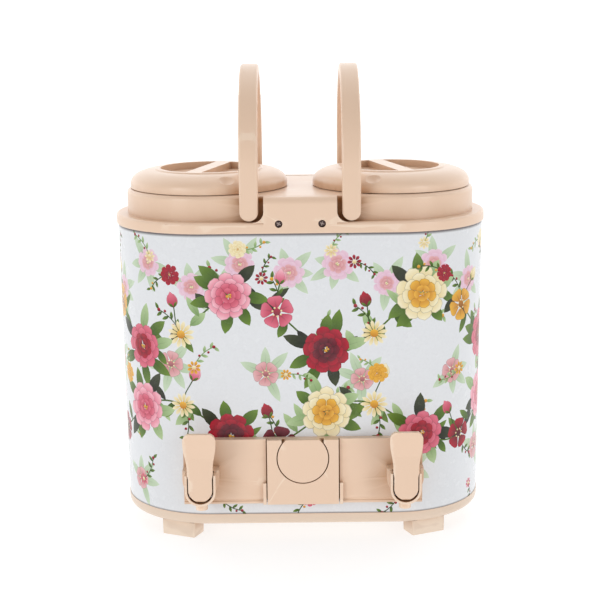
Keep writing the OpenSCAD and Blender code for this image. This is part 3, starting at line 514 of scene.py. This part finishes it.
def bakeCrevices(pieces):
    # how closed-in each point is by what is close and by what is farther off, kept as two attributes: grime
    # with painted shade in narrow gaps, painted shade in wider hollows
    bake = creviceBake
    allTree = treeOf(pieces.values())
    openTree = treeOf([piece for node, piece in pieces.items() if node not in bake["lifted"]])
    count = bake["rays"]
    dome = []
    for i in range(count):
        tall = math.sqrt((i + 0.5) / count)
        flat, turn = math.sqrt(1 - tall * tall), i * bake["turn"]
        dome.append((flat * math.cos(turn), flat * math.sin(turn), tall))
    total = 0
    for node, piece in pieces.items():
        if node in bake["skip"]:
            continue
        near, wide = [], []
        tree = allTree if node in bake["lifted"] else openTree
        for v in piece.data.vertices:
            side = v.normal.orthogonal().normalized()
            other = v.normal.cross(side)
            start = v.co + v.normal * bake["lift"]
            gaps = [tree.ray_cast(start, side * x + other * y + v.normal * z, bake["wide"])[3]
                    for x, y, z in dome]
            gaps = [gap for gap in gaps if gap is not None]
            near.append(sum(gap < bake["near"] for gap in gaps) / count)
            wide.append(len(gaps) / count)
        shut = spanValues(blurValues(piece.data, wide, bake["shutBlur"]), *bake["shutSpan"])
        shut = spanValues(depthInside(piece.data, shut), *bake["shutReach"])
        # near occlusion paints grime with shade, wide occlusion paints shade
        for title, shares, kind in (("crevice", near, "near"), ("hollow", wide, "wide")):
            shares = blurValues(piece.data, shares, bake[kind + "Blur"])
            values = spanValues(shares, *bake[kind + "Span"])
            values = [value * (1 - closed) for value, closed in zip(values, shut)]
            piece.data.attributes.new(title, "FLOAT", "POINT").data.foreach_set("value", values)
        total += len(near)
    return total


creviceCount = bakeCrevices(softPieces)
print("crevices baked at", creviceCount, "points")

screwLook = {"rings": 14, "sides": 56, "slot": 0.17, "slotReach": 0.68, "slotDepth": 0.42, "crown": 0.34,
             "crossFloor": 0.4, "point": 0.3, "sharp": 32, "pitch": 0.0011, "threadDepth": 0.0003,
             "weld": 2e-6, "head": 0.71, "shank": 0.6}  # head height and shank radius to the head's radius


def makeScrew(name, headRadius, headHeight, shankRadius, length):
    # one pan-head screw at the origin: head's face up, shank down
    look = screwLook
    verts, faces, bare, sides = [], [], [1.0], look["sides"]
    rows = []
    for i in range(1, look["rings"] + 1):  # the crowned face with its cross
        r = headRadius * i / look["rings"]
        rows.append((r, -headHeight * look["crown"] * (i / look["rings"]) ** 3))
    rows.append((headRadius, -headHeight))
    rows.append((shankRadius, -headHeight))
    turns = int(length / look["pitch"])
    for i in range(turns * 2):
        depth = look["threadDepth"] if i % 2 else 0.0
        rows.append((shankRadius - depth, -headHeight - length * (i + 1) / (turns * 2 + 2)))
    rows.append((shankRadius * look["point"], -headHeight - length))
    verts.append((0.0, 0.0, -headHeight * look["slotDepth"]))
    for r, z in rows:
        for j in range(sides):
            turn = 2 * math.pi * j / sides
            x, y = r * math.cos(turn), r * math.sin(turn)
            near, far = sorted((abs(x), abs(y)))
            inCross = near < headRadius * look["slot"] and far < headRadius * look["slotReach"]
            inCross = inCross and z > -headHeight * look["crossFloor"]
            verts.append((x, y, z - headHeight * look["slotDepth"] if inCross else z))
            bare.append(1.0 if inCross else 0.0)  # the driver has worn the blacking off
    for j in range(sides):
        faces.append((0, 1 + j, 1 + (j + 1) % sides))
    for i in range(len(rows) - 1):
        top, low = 1 + i * sides, 1 + (i + 1) * sides
        for j in range(sides):
            k = (j + 1) % sides
            faces.append((top + j, low + j, low + k, top + k))
    faces.append(tuple(1 + (len(rows) - 1) * sides + j for j in reversed(range(sides))))
    mesh = bpy.data.meshes.new(name)
    mesh.from_pydata(verts, [], faces)
    mesh.attributes.new("bareSteel", "FLOAT", "POINT").data.foreach_set("value", bare)
    shadeByAngle(mesh, look["sharp"])
    return newObject(name, mesh)


def makeScrewSet():
    # sets one screw at every point, facing along the point's own direction
    group = bpy.data.node_groups.new("screwSet", "GeometryNodeTree")
    for title, kind in (("Points", "Geometry"), ("Screw", "Object"), ("Finish", "Material"), ("Seed", "Int")):
        group.interface.new_socket(title, in_out="INPUT", socket_type="NodeSocket" + kind)
    group.interface.new_socket("Screws", in_out="OUTPUT", socket_type="NodeSocketGeometry")
    gin, gout = group.nodes.new("NodeGroupInput"), group.nodes.new("NodeGroupOutput")
    info = group.nodes.new("GeometryNodeObjectInfo")
    facing = addNode(group, "GeometryNodeInputNamedAttribute", data_type="FLOAT_VECTOR", Name="facing")
    aim = addNode(group, "FunctionNodeAlignRotationToVector", axis="Z")
    place = group.nodes.new("GeometryNodeInstanceOnPoints")
    turn = addNode(group, "FunctionNodeRandomValue", data_type="FLOAT")
    turn.inputs[3].default_value = math.pi
    spin = group.nodes.new("ShaderNodeCombineXYZ")
    rotate = group.nodes.new("GeometryNodeRotateInstances")
    realize = group.nodes.new("GeometryNodeRealizeInstances")
    finish = group.nodes.new("GeometryNodeSetMaterial")
    for start, end in ((gin.outputs["Screw"], info.inputs["Object"]),
                       (gin.outputs["Points"], place.inputs["Points"]),
                       (info.outputs["Geometry"], place.inputs["Instance"]),
                       (facing.outputs["Attribute"], aim.inputs["Vector"]),
                       (aim.outputs["Rotation"], place.inputs["Rotation"]),
                       (gin.outputs["Seed"], turn.inputs["Seed"]), (turn.outputs[1], spin.inputs["Z"]),
                       (spin.outputs[0], rotate.inputs["Rotation"]),
                       (place.outputs["Instances"], rotate.inputs["Instances"]),
                       (rotate.outputs["Instances"], realize.inputs["Geometry"]),
                       (realize.outputs["Geometry"], finish.inputs["Geometry"]),
                       (gin.outputs["Finish"], finish.inputs["Material"]),
                       (finish.outputs["Geometry"], gout.inputs["Screws"])):
        group.links.new(start, end)
    return group


def looseBoxes(mesh):
    # the box of every separate solid in a node
    work = bmesh.new()
    work.from_mesh(mesh)
    bmesh.ops.remove_doubles(work, verts=work.verts, dist=screwLook["weld"])
    left, boxes = set(work.verts), []
    while left:
        heap, seen = [left.pop()], []
        while heap:
            vert = heap.pop()
            seen.append(vert.co.copy())
            for edge in vert.link_edges:
                mate = edge.other_vert(vert)
                if mate in left:
                    left.remove(mate)
                    heap.append(mate)
        boxes.append([Vector(pick(v[i] for v in seen) for i in range(3)) for pick in (min, max)])
    work.free()
    return boxes


def setScrews(node, group, seed):
    points, facing = [], []
    for low, high in looseBoxes(frame["nodes"][node].data):
        size = high - low
        axis = max(range(3), key=lambda i: size[i])
        radius, length = min(size) / 2, size[axis]
        middle = (low + high) / 2
        way = Vector((0, 0, 0))
        way[axis] = -1.0 if axis == 2 or middle.y < bodyY else 1.0
        points.append(middle + way * length / 2)
        facing.append(way)
    head, shank = radius * screwLook["head"], radius * screwLook["shank"]
    screw = makeScrew(node + "_one", radius, head, shank, length - head)
    mesh = bpy.data.meshes.new(node + "_points")
    mesh.from_pydata(points, [], [])
    ways = mesh.attributes.new("facing", "FLOAT_VECTOR", "POINT").data
    ways.foreach_set("vector", [value for way in facing for value in way])
    piece = newPiece(node + "_set", mesh, materials[nodeSlot[node]])
    modifier = piece.modifiers.new("screwSet", "NODES")
    modifier.node_group = group
    sockets = {item.name: item.identifier for item in group.interface.items_tree if item.in_out == "INPUT"}
    modifier[sockets["Screw"]] = screw
    modifier[sockets["Finish"]] = materials[nodeSlot[node]]
    modifier[sockets["Seed"]] = seed
    bakeModifiers(piece)
    bpy.data.objects.remove(screw)
    placePiece(piece, nodeBody[node], nodeSlot[node], node)
    print("screws set:", node, len(points))


screwSet = makeScrewSet()
screwSeeds = {"collar_screws": 3, "foot_screws": 8}
for node, seed in screwSeeds.items():
    setScrews(node, screwSet, seed)

valveSprings = {  # how far, and towards which y, a pressed lever shortens them
    "stroke": 0.00396, "seat": -0.081976,
    "levers": {"left_valve_spring": "left_lever_tilt", "right_valve_spring": "right_lever_tilt"},
}
for node, lever in valveSprings["levers"].items():
    spring = newPiece(node + "_wire", frame["nodes"][node].data.copy(), materials[nodeSlot[node]])
    placePiece(spring, nodeBody[node], nodeSlot[node], node)
    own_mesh(spring)
print("valve springs made:", len(valveSprings["levers"]))

replacedNodes = {"outer_shell", *softNodes, *screwSeeds, *valveSprings["levers"]}
plainNodes = [node for node in frame["nodes"] if node not in replacedNodes]
for node in plainNodes:
    mesh = frame["nodes"][node].data
    mesh.materials.clear()
    mesh.materials.append(materials[nodeSlot[node]])
print("plain nodes finished:", len(plainNodes))


# the printed sheet: flowers drawn flat, then wrapped round the oval

sheet = {"thick": 0.0006, "columnStep": 4.0, "seed": 11, "seamGap": 0.25, "square": 8.0, "weld": 0.02,
         "paper": (222, 224, 227), "edge": 1e-5, "innerWeld": 1e-4}
inks = {
    "pink": ((196, 62, 92), (246, 196, 206)), "rose": ((172, 44, 70), (226, 122, 142)),
    "crimson": ((96, 4, 24), (184, 18, 48)), "burgundy": ((58, 6, 20), (122, 22, 44)),
    "cream": ((214, 186, 112), (243, 235, 206)), "mustard": ((186, 116, 20), (236, 184, 66)),
    "fadedRose": ((198, 122, 126), (226, 180, 182)), "fadedPink": ((212, 162, 186), (232, 204, 218)),
    "leaf": ((44, 72, 6), (106, 136, 48)), "paleLeaf": ((116, 148, 88), (178, 200, 152)),
    "nightLeaf": ((18, 22, 14), (58, 68, 36)), "fadedLeaf": ((160, 184, 146), (198, 214, 188)),
}
drawn = []  # every inked outline, lowest first: points, origin, direction, reach, two colours
chance = random.Random(sheet["seed"])


def ink(points, origin, angle, reach, low, high):
    drawn.append((points, origin, (math.cos(angle), math.sin(angle)), reach, low, high))


def darker(colour, share):
    return tuple(v * share for v in colour)


def petalPoints(origin, angle, length, width, fullness, notch, steps):
    # one side out to the tip, the other side back
    side = []
    for i in range(1, steps):
        t = i / steps
        side.append((t * length, width / 2 * math.sin(math.pi * t ** fullness) ** 0.8))
    tip = [(length * (1 - notch), 0.0)]
    loop = [(0.0, 0.0)] + [(x, -y) for x, y in side] + tip + side[::-1]
    cosA, sinA = math.cos(angle), math.sin(angle)
    return [(origin[0] + x * cosA - y * sinA, origin[1] + x * sinA + y * cosA) for x, y in loop]


petalShade = {"rimRoot": 0.78, "rimTip": 0.80, "foldLength": 0.8, "foldRoot": 0.8}


def petal(origin, angle, length, width, pair, fullness=1.5, notch=0.06, steps=6, rim=0.0, fold=0.0):
    if rim:
        start = (origin[0] - math.cos(angle) * rim, origin[1] - math.sin(angle) * rim)
        ink(petalPoints(start, angle, length + rim * 2, width + rim * 2, fullness, notch, steps),
            origin, angle, length, darker(pair[0], petalShade["rimRoot"]),
            darker(pair[1], petalShade["rimTip"]))
    ink(petalPoints(origin, angle, length, width, fullness, notch, steps), origin, angle, length, *pair)
    if fold:
        ink(petalPoints(origin, angle, length * petalShade["foldLength"], width * fold, 1.0, 0.0, 3), origin,
            angle, length, darker(pair[0], petalShade["foldRoot"]), pair[1])


def dot(centre, radius, low, high, count=7):
    ring = [(centre[0] + radius * math.cos(2 * math.pi * i / count),
             centre[1] + radius * math.sin(2 * math.pi * i / count)) for i in range(count)]
    ink(ring, (centre[0], centre[1] - radius), math.pi / 2, radius * 2, low, high)


def around(centre, reach, angle):
    return centre[0] + reach * math.cos(angle), centre[1] + reach * math.sin(angle)


bloomRings = (  # petals, then their root, length and width to the bloom's radius
    (9, 0.30, 0.70, 0.52), (8, 0.20, 0.56, 0.46), (7, 0.12, 0.44, 0.36), (5, 0.04, 0.28, 0.28))
bloomHeart = (6, 0.05, 2.4, 0.045)  # dots, their ring, turn from one to the next, size


def fullBloom(centre, radius, outer, inner, heart, rim=0.5):
    turn = chance.uniform(0, math.pi)
    for level, (count, root, length, width) in enumerate(bloomRings):
        pair = outer if level < 2 else inner
        edge = rim if level < 3 else 0.0
        for i in range(count):
            angle = turn + 2 * math.pi * (i + 0.5 * level) / count + chance.uniform(-0.08, 0.08)
            petal(around(centre, root * radius, angle), angle, length * radius * chance.uniform(0.92, 1.04),
                  width * radius, pair, notch=chance.uniform(0.02, 0.12), rim=edge)
    dots, ring, step, size = bloomHeart
    for i in range(dots):
        dot(around(centre, radius * ring * (i % 3), turn + i * step), radius * size, *heart, 6)


# lengths to the flower's radius or the bud's length
blossomForm = {"petals": 5, "root": 0.1, "length": 0.9, "width": 0.86, "eye": 0.22, "dark": 0.7, "dots": 7,
               "ring": 0.26, "step": 0.9, "dot": 0.06}
daisyForm = {"root": 0.2, "length": 0.8, "widths": 3.4, "eye": 0.3}
budForm = {"petals": ((0.25, 0.84), (-0.25, 0.84), (0.0, 1.0)), "width": 0.5, "sepals": (0.7, -0.7),
           "sepalLength": 0.45, "sepalWidth": 0.16}


def openBlossom(centre, radius, pair, heart):
    form, turn = blossomForm, chance.uniform(0, math.pi)
    for i in range(form["petals"]):
        angle = turn + 2 * math.pi * i / form["petals"]
        root = around(centre, radius * form["root"], angle)
        petal(root, angle, radius * form["length"], radius * form["width"], pair, 1.75, 0.10, 8, 0.4, 0.1)
    dot(centre, radius * form["eye"], darker(pair[0], form["dark"]), pair[0], 9)
    for i in range(form["dots"]):
        dot(around(centre, radius * form["ring"], turn + i * form["step"]), radius * form["dot"], *heart, 6)


def daisy(centre, radius, pair, heart, count=12):
    form, turn = daisyForm, chance.uniform(0, math.pi)
    for i in range(count):
        angle = turn + 2 * math.pi * i / count
        root = around(centre, radius * form["root"], angle)
        petal(root, angle, radius * form["length"], radius * form["widths"] / count, pair, 1.3, 0.03, 5)
    dot(centre, radius * form["eye"], *heart, 9)


def bud(base, angle, length, pair, green):
    for lean, share in budForm["petals"]:
        petal(base, angle + lean, length * share, length * budForm["width"], pair, 0.95, 0.0, 6, 0.3)
    for lean in budForm["sepals"]:
        petal(base, angle + lean, length * budForm["sepalLength"], length * budForm["sepalWidth"], green,
              1.0, 0.0, 4)


def leaf(base, angle, length, width, pair, vein=0.07):
    petal(base, angle, length, width, pair, 0.95, 0.0, 6, 0.0, vein)


def stem(points, width, pair):
    left, right = [], []
    for i, (x, y) in enumerate(points):
        nextX, nextY = points[min(i + 1, len(points) - 1)]
        lastX, lastY = points[max(i - 1, 0)]
        run = math.hypot(nextX - lastX, nextY - lastY)
        offX, offY = -(nextY - lastY) / run * width / 2, (nextX - lastX) / run * width / 2
        left.append((x + offX, y + offY))
        right.append((x - offX, y - offY))
    ink(right + left[::-1], points[0], 0.0, 1000.0, *pair)


sprigForm = {"steps": 8, "bend": 0.9, "stem": 0.9, "leafLean": 0.9, "leaf": 0.24, "leafWidth": 0.10,
             "stalk": 0.08, "stalkLean": 1.2, "berry": 0.045, "tip": 0.06}


def curlSprig(base, angle, length, pair, berry):
    # a bent twig with berries and small leaves
    form, steps = sprigForm, sprigForm["steps"]
    bend = chance.choice((-1, 1)) * form["bend"]
    path, place, way = [], base, angle
    for i in range(steps + 1):
        path.append(place)
        place = around(place, length / steps, way)
        way += bend / steps
    stem(path, form["stem"], pair)
    for i in range(2, steps + 1):
        side = 1 if i % 2 else -1
        if i % 3:
            leaf(path[i], way + side * form["leafLean"] - bend * (steps - i) / steps, length * form["leaf"],
                 length * form["leafWidth"], pair, 0.0)
        else:
            spot = around(path[i], length * form["stalk"], way + side * form["stalkLean"])
            dot(spot, length * form["berry"], *berry)
    dot(path[-1], length * form["tip"], *berry)


garlands = {  # height of each vine above the sheet's lower edge, its swing, waves round the body
    "upper": {"height": 172.0, "swing": 26.0, "waves": 5, "shift": 0.4},
    "lower": {"height": 82.0, "swing": 20.0, "waves": 5, "shift": 2.9},
}
sprayLook = {"count": 40, "start": 0.5, "rows": (34.0, 226.0, 128.0, 206.0), "stray": 12, "leafWidth": 8.5,
             "leans": (-1.9, -0.8, 0.0, 0.8, 1.9), "leaf": (20, 28), "bloom": (12, 15), "blossom": (10, 13)}
vineLook = {"steps": 240, "width": 1.5, "beats": 4, "leaves": 5, "lean": (0.6, 1.2), "leaf": (15, 24),
            "leafWidth": (6, 9), "leafInks": ("leaf", "leaf", "paleLeaf", "nightLeaf"), "sprig": 30,
            "sprigLean": (1.0, 2.1), "budLean": (0.8, 2.2), "budReach": 24, "budBend": 0.15, "bud": 14,
            "bloom": (21, 25), "blossom": (14, 17), "daisy": (11, 13)}
wreathLook = {"leaves": 7, "stray": 0.3, "root": 12, "lean": 0.4, "leaf": (20, 28), "leafWidth": 10.5,
              "leafInks": ("leaf", "leaf", "nightLeaf", "paleLeaf")}
twigLook = {"count": 42, "start": 0.3, "rows": (126.0, 20.0, 234.0, 218.0), "stray": 8, "sprig": (20, 28),
            "inks": ("mustard", "rose", "cream", "crimson"), "daisy": (5, 7), "bloom": (8, 10)}
brightPairs = [("pink", "rose"), ("crimson", "burgundy"), ("cream", "mustard"), ("rose", "crimson")]
fadedPairs = [("fadedRose", "fadedPink"), ("fadedPink", "fadedRose")]


def vinePoint(vine, s, length):
    turn = 2 * math.pi * vine["waves"] * s / length + vine["shift"]
    return s, vine["height"] + vine["swing"] * math.sin(turn)


def looseSpot(look, i, length):
    row = look["rows"][i % len(look["rows"])]
    return length * (i + look["start"]) / look["count"], row + chance.uniform(-look["stray"], look["stray"])


def sprigInks(i):
    return inks["leaf" if i % 2 else "paleLeaf"], inks["crimson" if i % 3 else "mustard"]


def drawSprays(length):
    look = sprayLook
    for i in range(look["count"]):
        spot = looseSpot(look, i, length)
        way = chance.uniform(0, 2 * math.pi)
        for lean in look["leans"]:
            leaf(spot, way + lean, chance.uniform(*look["leaf"]), look["leafWidth"], inks["fadedLeaf"])
        outer, inner = fadedPairs[i % 2]
        if i % 2:
            fullBloom(spot, chance.uniform(*look["bloom"]), inks[outer], inks[inner], inks["cream"], 0.0)
        else:
            openBlossom(spot, chance.uniform(*look["blossom"]), inks[outer], inks["cream"])


def drawWreath(spot):
    look = wreathLook
    for j in range(look["leaves"]):
        way = 2 * math.pi * j / look["leaves"] + chance.uniform(-look["stray"], look["stray"])
        leaf(around(spot, look["root"], way), way + chance.uniform(-look["lean"], look["lean"]),
             chance.uniform(*look["leaf"]), look["leafWidth"], inks[chance.choice(look["leafInks"])])


def drawVine(vine, row, length):
    look = vineLook
    stem([vinePoint(vine, length * i / look["steps"], length) for i in range(look["steps"] + 1)],
         look["width"], inks["leaf"])
    beats, leaves = vine["waves"] * look["beats"], look["leaves"]
    places = [length * (i + 0.5) / beats for i in range(beats)]
    for i, s in enumerate(places):
        for j in range(leaves):  # leaves to both sides of the vine
            spot = vinePoint(vine, s + (j - leaves // 2) * length / beats / leaves, length)
            way = (1 if j % 2 else -1) * chance.uniform(*look["lean"]) + chance.choice((0, math.pi))
            leaf(spot, way, chance.uniform(*look["leaf"]), chance.uniform(*look["leafWidth"]),
                 inks[chance.choice(look["leafInks"])])
        curlSprig(vinePoint(vine, s, length), chance.choice((1, -1)) * chance.uniform(*look["sprigLean"]),
                  look["sprig"], *sprigInks(i))
    for s in places[::2]:  # under each large bloom
        drawWreath(vinePoint(vine, s, length))
    for i, s in enumerate(places):
        spot = vinePoint(vine, s, length)
        outer, inner = brightPairs[(i // 2 + row) % 4]
        if i % 2:
            way, reach = chance.uniform(*look["budLean"]), look["budReach"]
            tip = around(spot, reach, way)
            stem([spot, around(spot, reach / 2, way + look["budBend"]), tip], 1.0, inks["leaf"])
            bud(tip, way, look["bud"], inks[outer], inks["leaf"])
        if i % 2 == 0:
            fullBloom(spot, chance.uniform(*look["bloom"]), inks[outer], inks[inner], inks["mustard"])
        elif i % 4 == 1:
            openBlossom(spot, chance.uniform(*look["blossom"]), inks[inner], inks["cream"])
        else:
            daisy(spot, chance.uniform(*look["daisy"]), inks["cream"], inks["mustard"])


def drawTwigs(length):
    # loose twigs and small blossoms fill the rest
    look = twigLook
    for i in range(look["count"]):
        spot = looseSpot(look, i, length)
        curlSprig(spot, chance.uniform(0, 2 * math.pi), chance.uniform(*look["sprig"]), *sprigInks(i))
        pair = inks[look["inks"][i % 4]]
        if i % 3:
            daisy(spot, chance.uniform(*look["daisy"]), pair, inks["cream"], 8)
        else:
            fullBloom(spot, chance.uniform(*look["bloom"]), pair, pair, inks["mustard"], 0.0)


def drawPrint(length):
    drawSprays(length)  # faded, so that the vivid vines lie over them
    for row, vine in enumerate(garlands.values()):
        drawVine(vine, row, length)
    drawTwigs(length)


def inside(loop, x, y):
    hit, (lastX, lastY) = False, loop[-1]
    for nextX, nextY in loop:
        if (nextY > y) != (lastY > y) and x < (lastX - nextX) * (y - nextY) / (lastY - nextY) + nextX:
            hit = not hit
        lastX, lastY = nextX, nextY
    return hit


def sortOutlines(step):
    # the outlines near each square of the sheet, topmost first
    squares = {}
    for index, outline in enumerate(drawn):
        columns, rows = zip(*outline[0])
        for i in range(int(min(columns) // step), int(max(columns) // step) + 1):
            for j in range(int(min(rows) // step), int(max(rows) // step) + 1):
                squares.setdefault((i, j), []).insert(0, index)
    return squares


def findOwners(flat, cells, squares, step):
    # the outline that shows at each cell's middle, counted from 1, or 0 for bare sheet
    owners = []
    for cell in cells:
        x = sum(flat[v].x for v in cell) / len(cell)
        y = sum(flat[v].y for v in cell) / len(cell)
        near = squares.get((int(x // step), int(y // step)), ())
        owners.append(next((i + 1 for i in near if inside(drawn[i][0], x, y)), 0))
    return owners


def cutPrint(points, lines, columns):
    # a first cut along every outline, then a second along the edges that still show
    step = sheet["square"]
    squares = sortOutlines(step)
    flat, _, cells, _, _, _ = delaunay_2d_cdt([Vector(p) for p in points], lines, [], 0, sheet["weld"])
    owners = findOwners(flat, cells, squares, step)
    sides = {}
    for cell, owner in zip(cells, owners):
        for a, b in zip(cell, cell[1:] + cell[:1]):
            sides.setdefault((min(a, b), max(a, b)), []).append(owner)
    shown = [pair for pair, both in sides.items() if len(both) == 1 or both[0] != both[1]]
    used = sorted({v for pair in shown for v in pair})
    place = {v: i for i, v in enumerate(used)}
    lines = [(place[a], place[b]) for a, b in shown]
    corners = [flat[v] for v in used]
    for ends in columns:  # where the sheet bends round the ends
        lines.append((len(corners), len(corners) + 1))
        corners += [Vector(p) for p in ends]
    flat, _, cells, _, _, _ = delaunay_2d_cdt(corners, lines, [], 0, sheet["weld"])
    return flat, list(zip(cells, findOwners(flat, cells, squares, step)))


def inkColours(polys, kept, flat):
    # each corner's place along its outline gives its colour between the two inks
    paper, values = srgb(*sheet["paper"]), []
    for index, poly in enumerate(polys):
        owner = kept[index][1] if index < len(kept) else 0
        for v in poly:
            if not owner:
                values.extend(paper)
                continue
            _, origin, way, reach, lowInk, highInk = drawn[owner - 1]
            t = ((flat[v].x - origin[0]) * way[0] + (flat[v].y - origin[1]) * way[1]) / reach
            t = min(max(t, 0.0), 1.0)
            values.extend(srgb(*(a + (b - a) * t for a, b in zip(lowInk, highInk))))
    return values


def makeSheet():
    mesh = frame["nodes"]["outer_shell"].data
    topRadius = (sheetHigh.y - sheetLow.y) / 2
    span = sheetHigh.x - topRadius  # half the straight run
    foot = [v.co for v in mesh.vertices if v.co.z < sheetLow.z + sheet["edge"]]
    footRadius = max(v.y for v in foot) - bodyY
    height = (sheetHigh.z - sheetLow.z) * 1000  # flat sizes are in millimetres
    mean = (topRadius + footRadius) * 500
    straight, bend = span * 2000, math.pi * mean
    length = 2 * (straight + bend)

    def wrap(s, z, inset):
        # from the seam at the middle of the back, round by -X, the front and +X
        radius = footRadius + (topRadius - footRadius) * z / height - inset
        up = sheetLow.z + z / 1000
        if s < straight / 2:
            return (-s / 1000, bodyY + radius, up), (0, 1)
        if s > length - straight / 2:
            return ((length - s) / 1000, bodyY + radius, up), (0, 1)
        s -= straight / 2
        if bend <= s <= bend + straight:
            return ((s - bend) / 1000 - span, bodyY - radius, up), (0, -1)
        turn = math.pi / 2 + s / mean if s < bend else (s - bend - straight) / mean - math.pi / 2
        end = -span if s < bend else span
        way = (math.cos(turn), math.sin(turn))
        return (end + radius * way[0], bodyY + radius * way[1], up), way

    drawPrint(length)
    left, right = sheet["seamGap"], length - sheet["seamGap"]
    points = [(left, 0), (right, 0), (right, height), (left, height)]
    lines, columns = [(0, 1), (1, 2), (2, 3), (3, 0)], []
    for start in (straight / 2, straight * 1.5 + bend):
        count = round(bend / sheet["columnStep"])
        for i in range(count + 1):
            s = start + bend * i / count
            columns.append(((s, 0), (s, height)))
    for outline in drawn:
        first, count = len(points), len(outline[0])
        points += [(min(max(x, left), right), min(max(y, 0), height)) for x, y in outline[0]]
        lines += [(first + i, first + (i + 1) % count) for i in range(count)]
    flat, kept = cutPrint(points, lines, columns)
    print("print drawn:", len(drawn), "outlines,", len(kept), "cells")

    outer = [wrap(p.x, p.y, 0.0) for p in flat]
    verts = [spot for spot, _ in outer]
    tops = [cell for cell, _ in kept]

    sides = [(a, b) for cell in tops for a, b in zip(cell, cell[1:] + cell[:1])]
    paired = set(sides)
    border = {a: b for a, b in sides if (b, a) not in paired}  # the sheet's own edge
    ring = [next(iter(border))]
    while border[ring[-1]] != ring[0]:
        ring.append(border[ring[-1]])
    rim = [flat[v] for v in ring]
    posts = {}  # matching columns join the two long edges of the inner face
    for i, p in enumerate(rim):
        posts.setdefault(round(p.x, 3), []).append(i)
    bends = [(ends[0], ends[1]) for ends in posts.values() if len(ends) == 2]
    whole = [list(range(len(rim)))]
    inFlat, _, inCells, inOrig, _, _ = delaunay_2d_cdt(rim, bends, whole, 1, sheet["innerWeld"])
    base = len(verts)
    verts += [wrap(p.x, p.y, sheet["thick"])[0] for p in inFlat]
    back = {orig: i for i, origs in enumerate(inOrig) for orig in origs}
    polys = tops + [[base + v for v in reversed(cell)] for cell in inCells]
    for i in range(len(ring)):
        j = (i + 1) % len(ring)
        polys.append([ring[j], ring[i], base + back[i], base + back[j]])

    sheetMesh = bpy.data.meshes.new("printed_sheet")
    sheetMesh.from_pydata(verts, [], polys)
    colour = sheetMesh.color_attributes.new("printInk", "FLOAT_COLOR", "CORNER")
    colour.data.foreach_set("color", inkColours(polys, kept, flat))
    normals = []  # the outer face is shaded as a true oval
    for poly in sheetMesh.polygons:
        shown = poly.index < len(kept)
        normals += [(*outer[v][1], 0.0) if shown else tuple(poly.normal) for v in poly.vertices]
    sheetMesh.polygons.foreach_set("use_smooth", [True] * len(sheetMesh.polygons))
    sheetMesh.normals_split_custom_set(normals)
    piece = newPiece("printed_sheet", sheetMesh, materials["printed_sheet"])
    placePiece(piece, nodeBody["outer_shell"], nodeSlot["outer_shell"], "outer_shell")
    print("sheet wrapped:", len(sheetMesh.polygons), "faces")


makeSheet()


# camera, lights and floor

camera = {"aside": -0.001, "back": 1.265, "height": 0.4655, "pitch": 11.9, "roll": -0.62, "lens": 85.3,
          "sensor": 36.0}


def makeCamera():
    data = bpy.data.cameras.new("photoCamera")
    data.lens = camera["lens"]
    data.sensor_width = camera["sensor"]
    view = newObject("photoCamera", data)
    view.location = (camera["aside"], bodyY - camera["back"], camera["height"])
    tilt = Euler((math.radians(90 - camera["pitch"]), 0, 0)).to_matrix()
    roll = Euler((0, 0, math.radians(camera["roll"]))).to_matrix()
    view.rotation_euler = (tilt @ roll).to_euler()
    bpy.context.scene.camera = view


lights = {  # place, aim, size across, spread in degrees, watts
    "keyBox": ((-1.1, -1.25, 0.55), (0, 0, 0.02), 0.7, 60, 0.85),
    "fillBox": ((1.2, -1.3, 0.45), (0, 0, 0.02), 0.7, 60, 0.75),
}
roomGlow = (-0.25, 0.35, 0.42, 1.5)  # from and to, along y; brightness in front and behind


def makeLights():
    for name, (place, aim, size, spread, power) in lights.items():
        data = bpy.data.lights.new(name, "AREA")
        data.shape = "SQUARE"
        data.size = size
        data.spread = math.radians(spread)
        data.energy = power
        light = newObject(name, data)
        light.location = place
        light.rotation_euler = (Vector(aim) - Vector(place)).to_track_quat("-Z", "Y").to_euler()
    # a white backdrop behind the object, a dimmer room in front of it
    world = bpy.data.worlds.new("studio")
    world.use_nodes = True
    tree = world.node_tree
    split = addNode(tree, "ShaderNodeSeparateXYZ")
    tree.links.new(tree.nodes.new("ShaderNodeTexCoord").outputs["Generated"], split.inputs[0])
    glow = tree.nodes["Background"].inputs
    tree.links.new(addRange(tree, split.outputs["Y"], *roomGlow), glow["Strength"])
    glow["Color"].default_value = (1, 1, 1, 1)
    bpy.context.scene.world = world
    bpy.context.scene.view_settings.view_transform = "Standard"


floorLook = {"reach": 6.0, "colour": srgb(160, 160, 160), "shade": srgb(154, 154, 155), "lit": 0.72,
             "cloud": (2.0, 3.0, 0.5), "rough": 0.7}


def makeFloor():
    material, tree, shader = startMaterial("paleFloor")
    cloud = addNoise(tree, objectCoords(tree), *floorLook["cloud"])
    tree.links.new(addMix(tree, cloud, floorLook["colour"], floorLook["shade"]), shader.inputs["Base Color"])
    setInputs(shader, Roughness=floorLook["rough"], Emission_Color=(1, 1, 1, 1),
              Emission_Strength=floorLook["lit"])  # a light table, so shadows stay faint
    half = floorLook["reach"]
    mesh = bpy.data.meshes.new("floor")
    corners = [(-half, -half, 0), (half, -half, 0), (half, half, 0), (-half, half, 0)]
    mesh.from_pydata(corners, [], [(0, 1, 2, 3)])
    newPiece("floor", mesh, material)


makeCamera()
makeLights()
makeFloor()
print("camera, lights and floor placed")
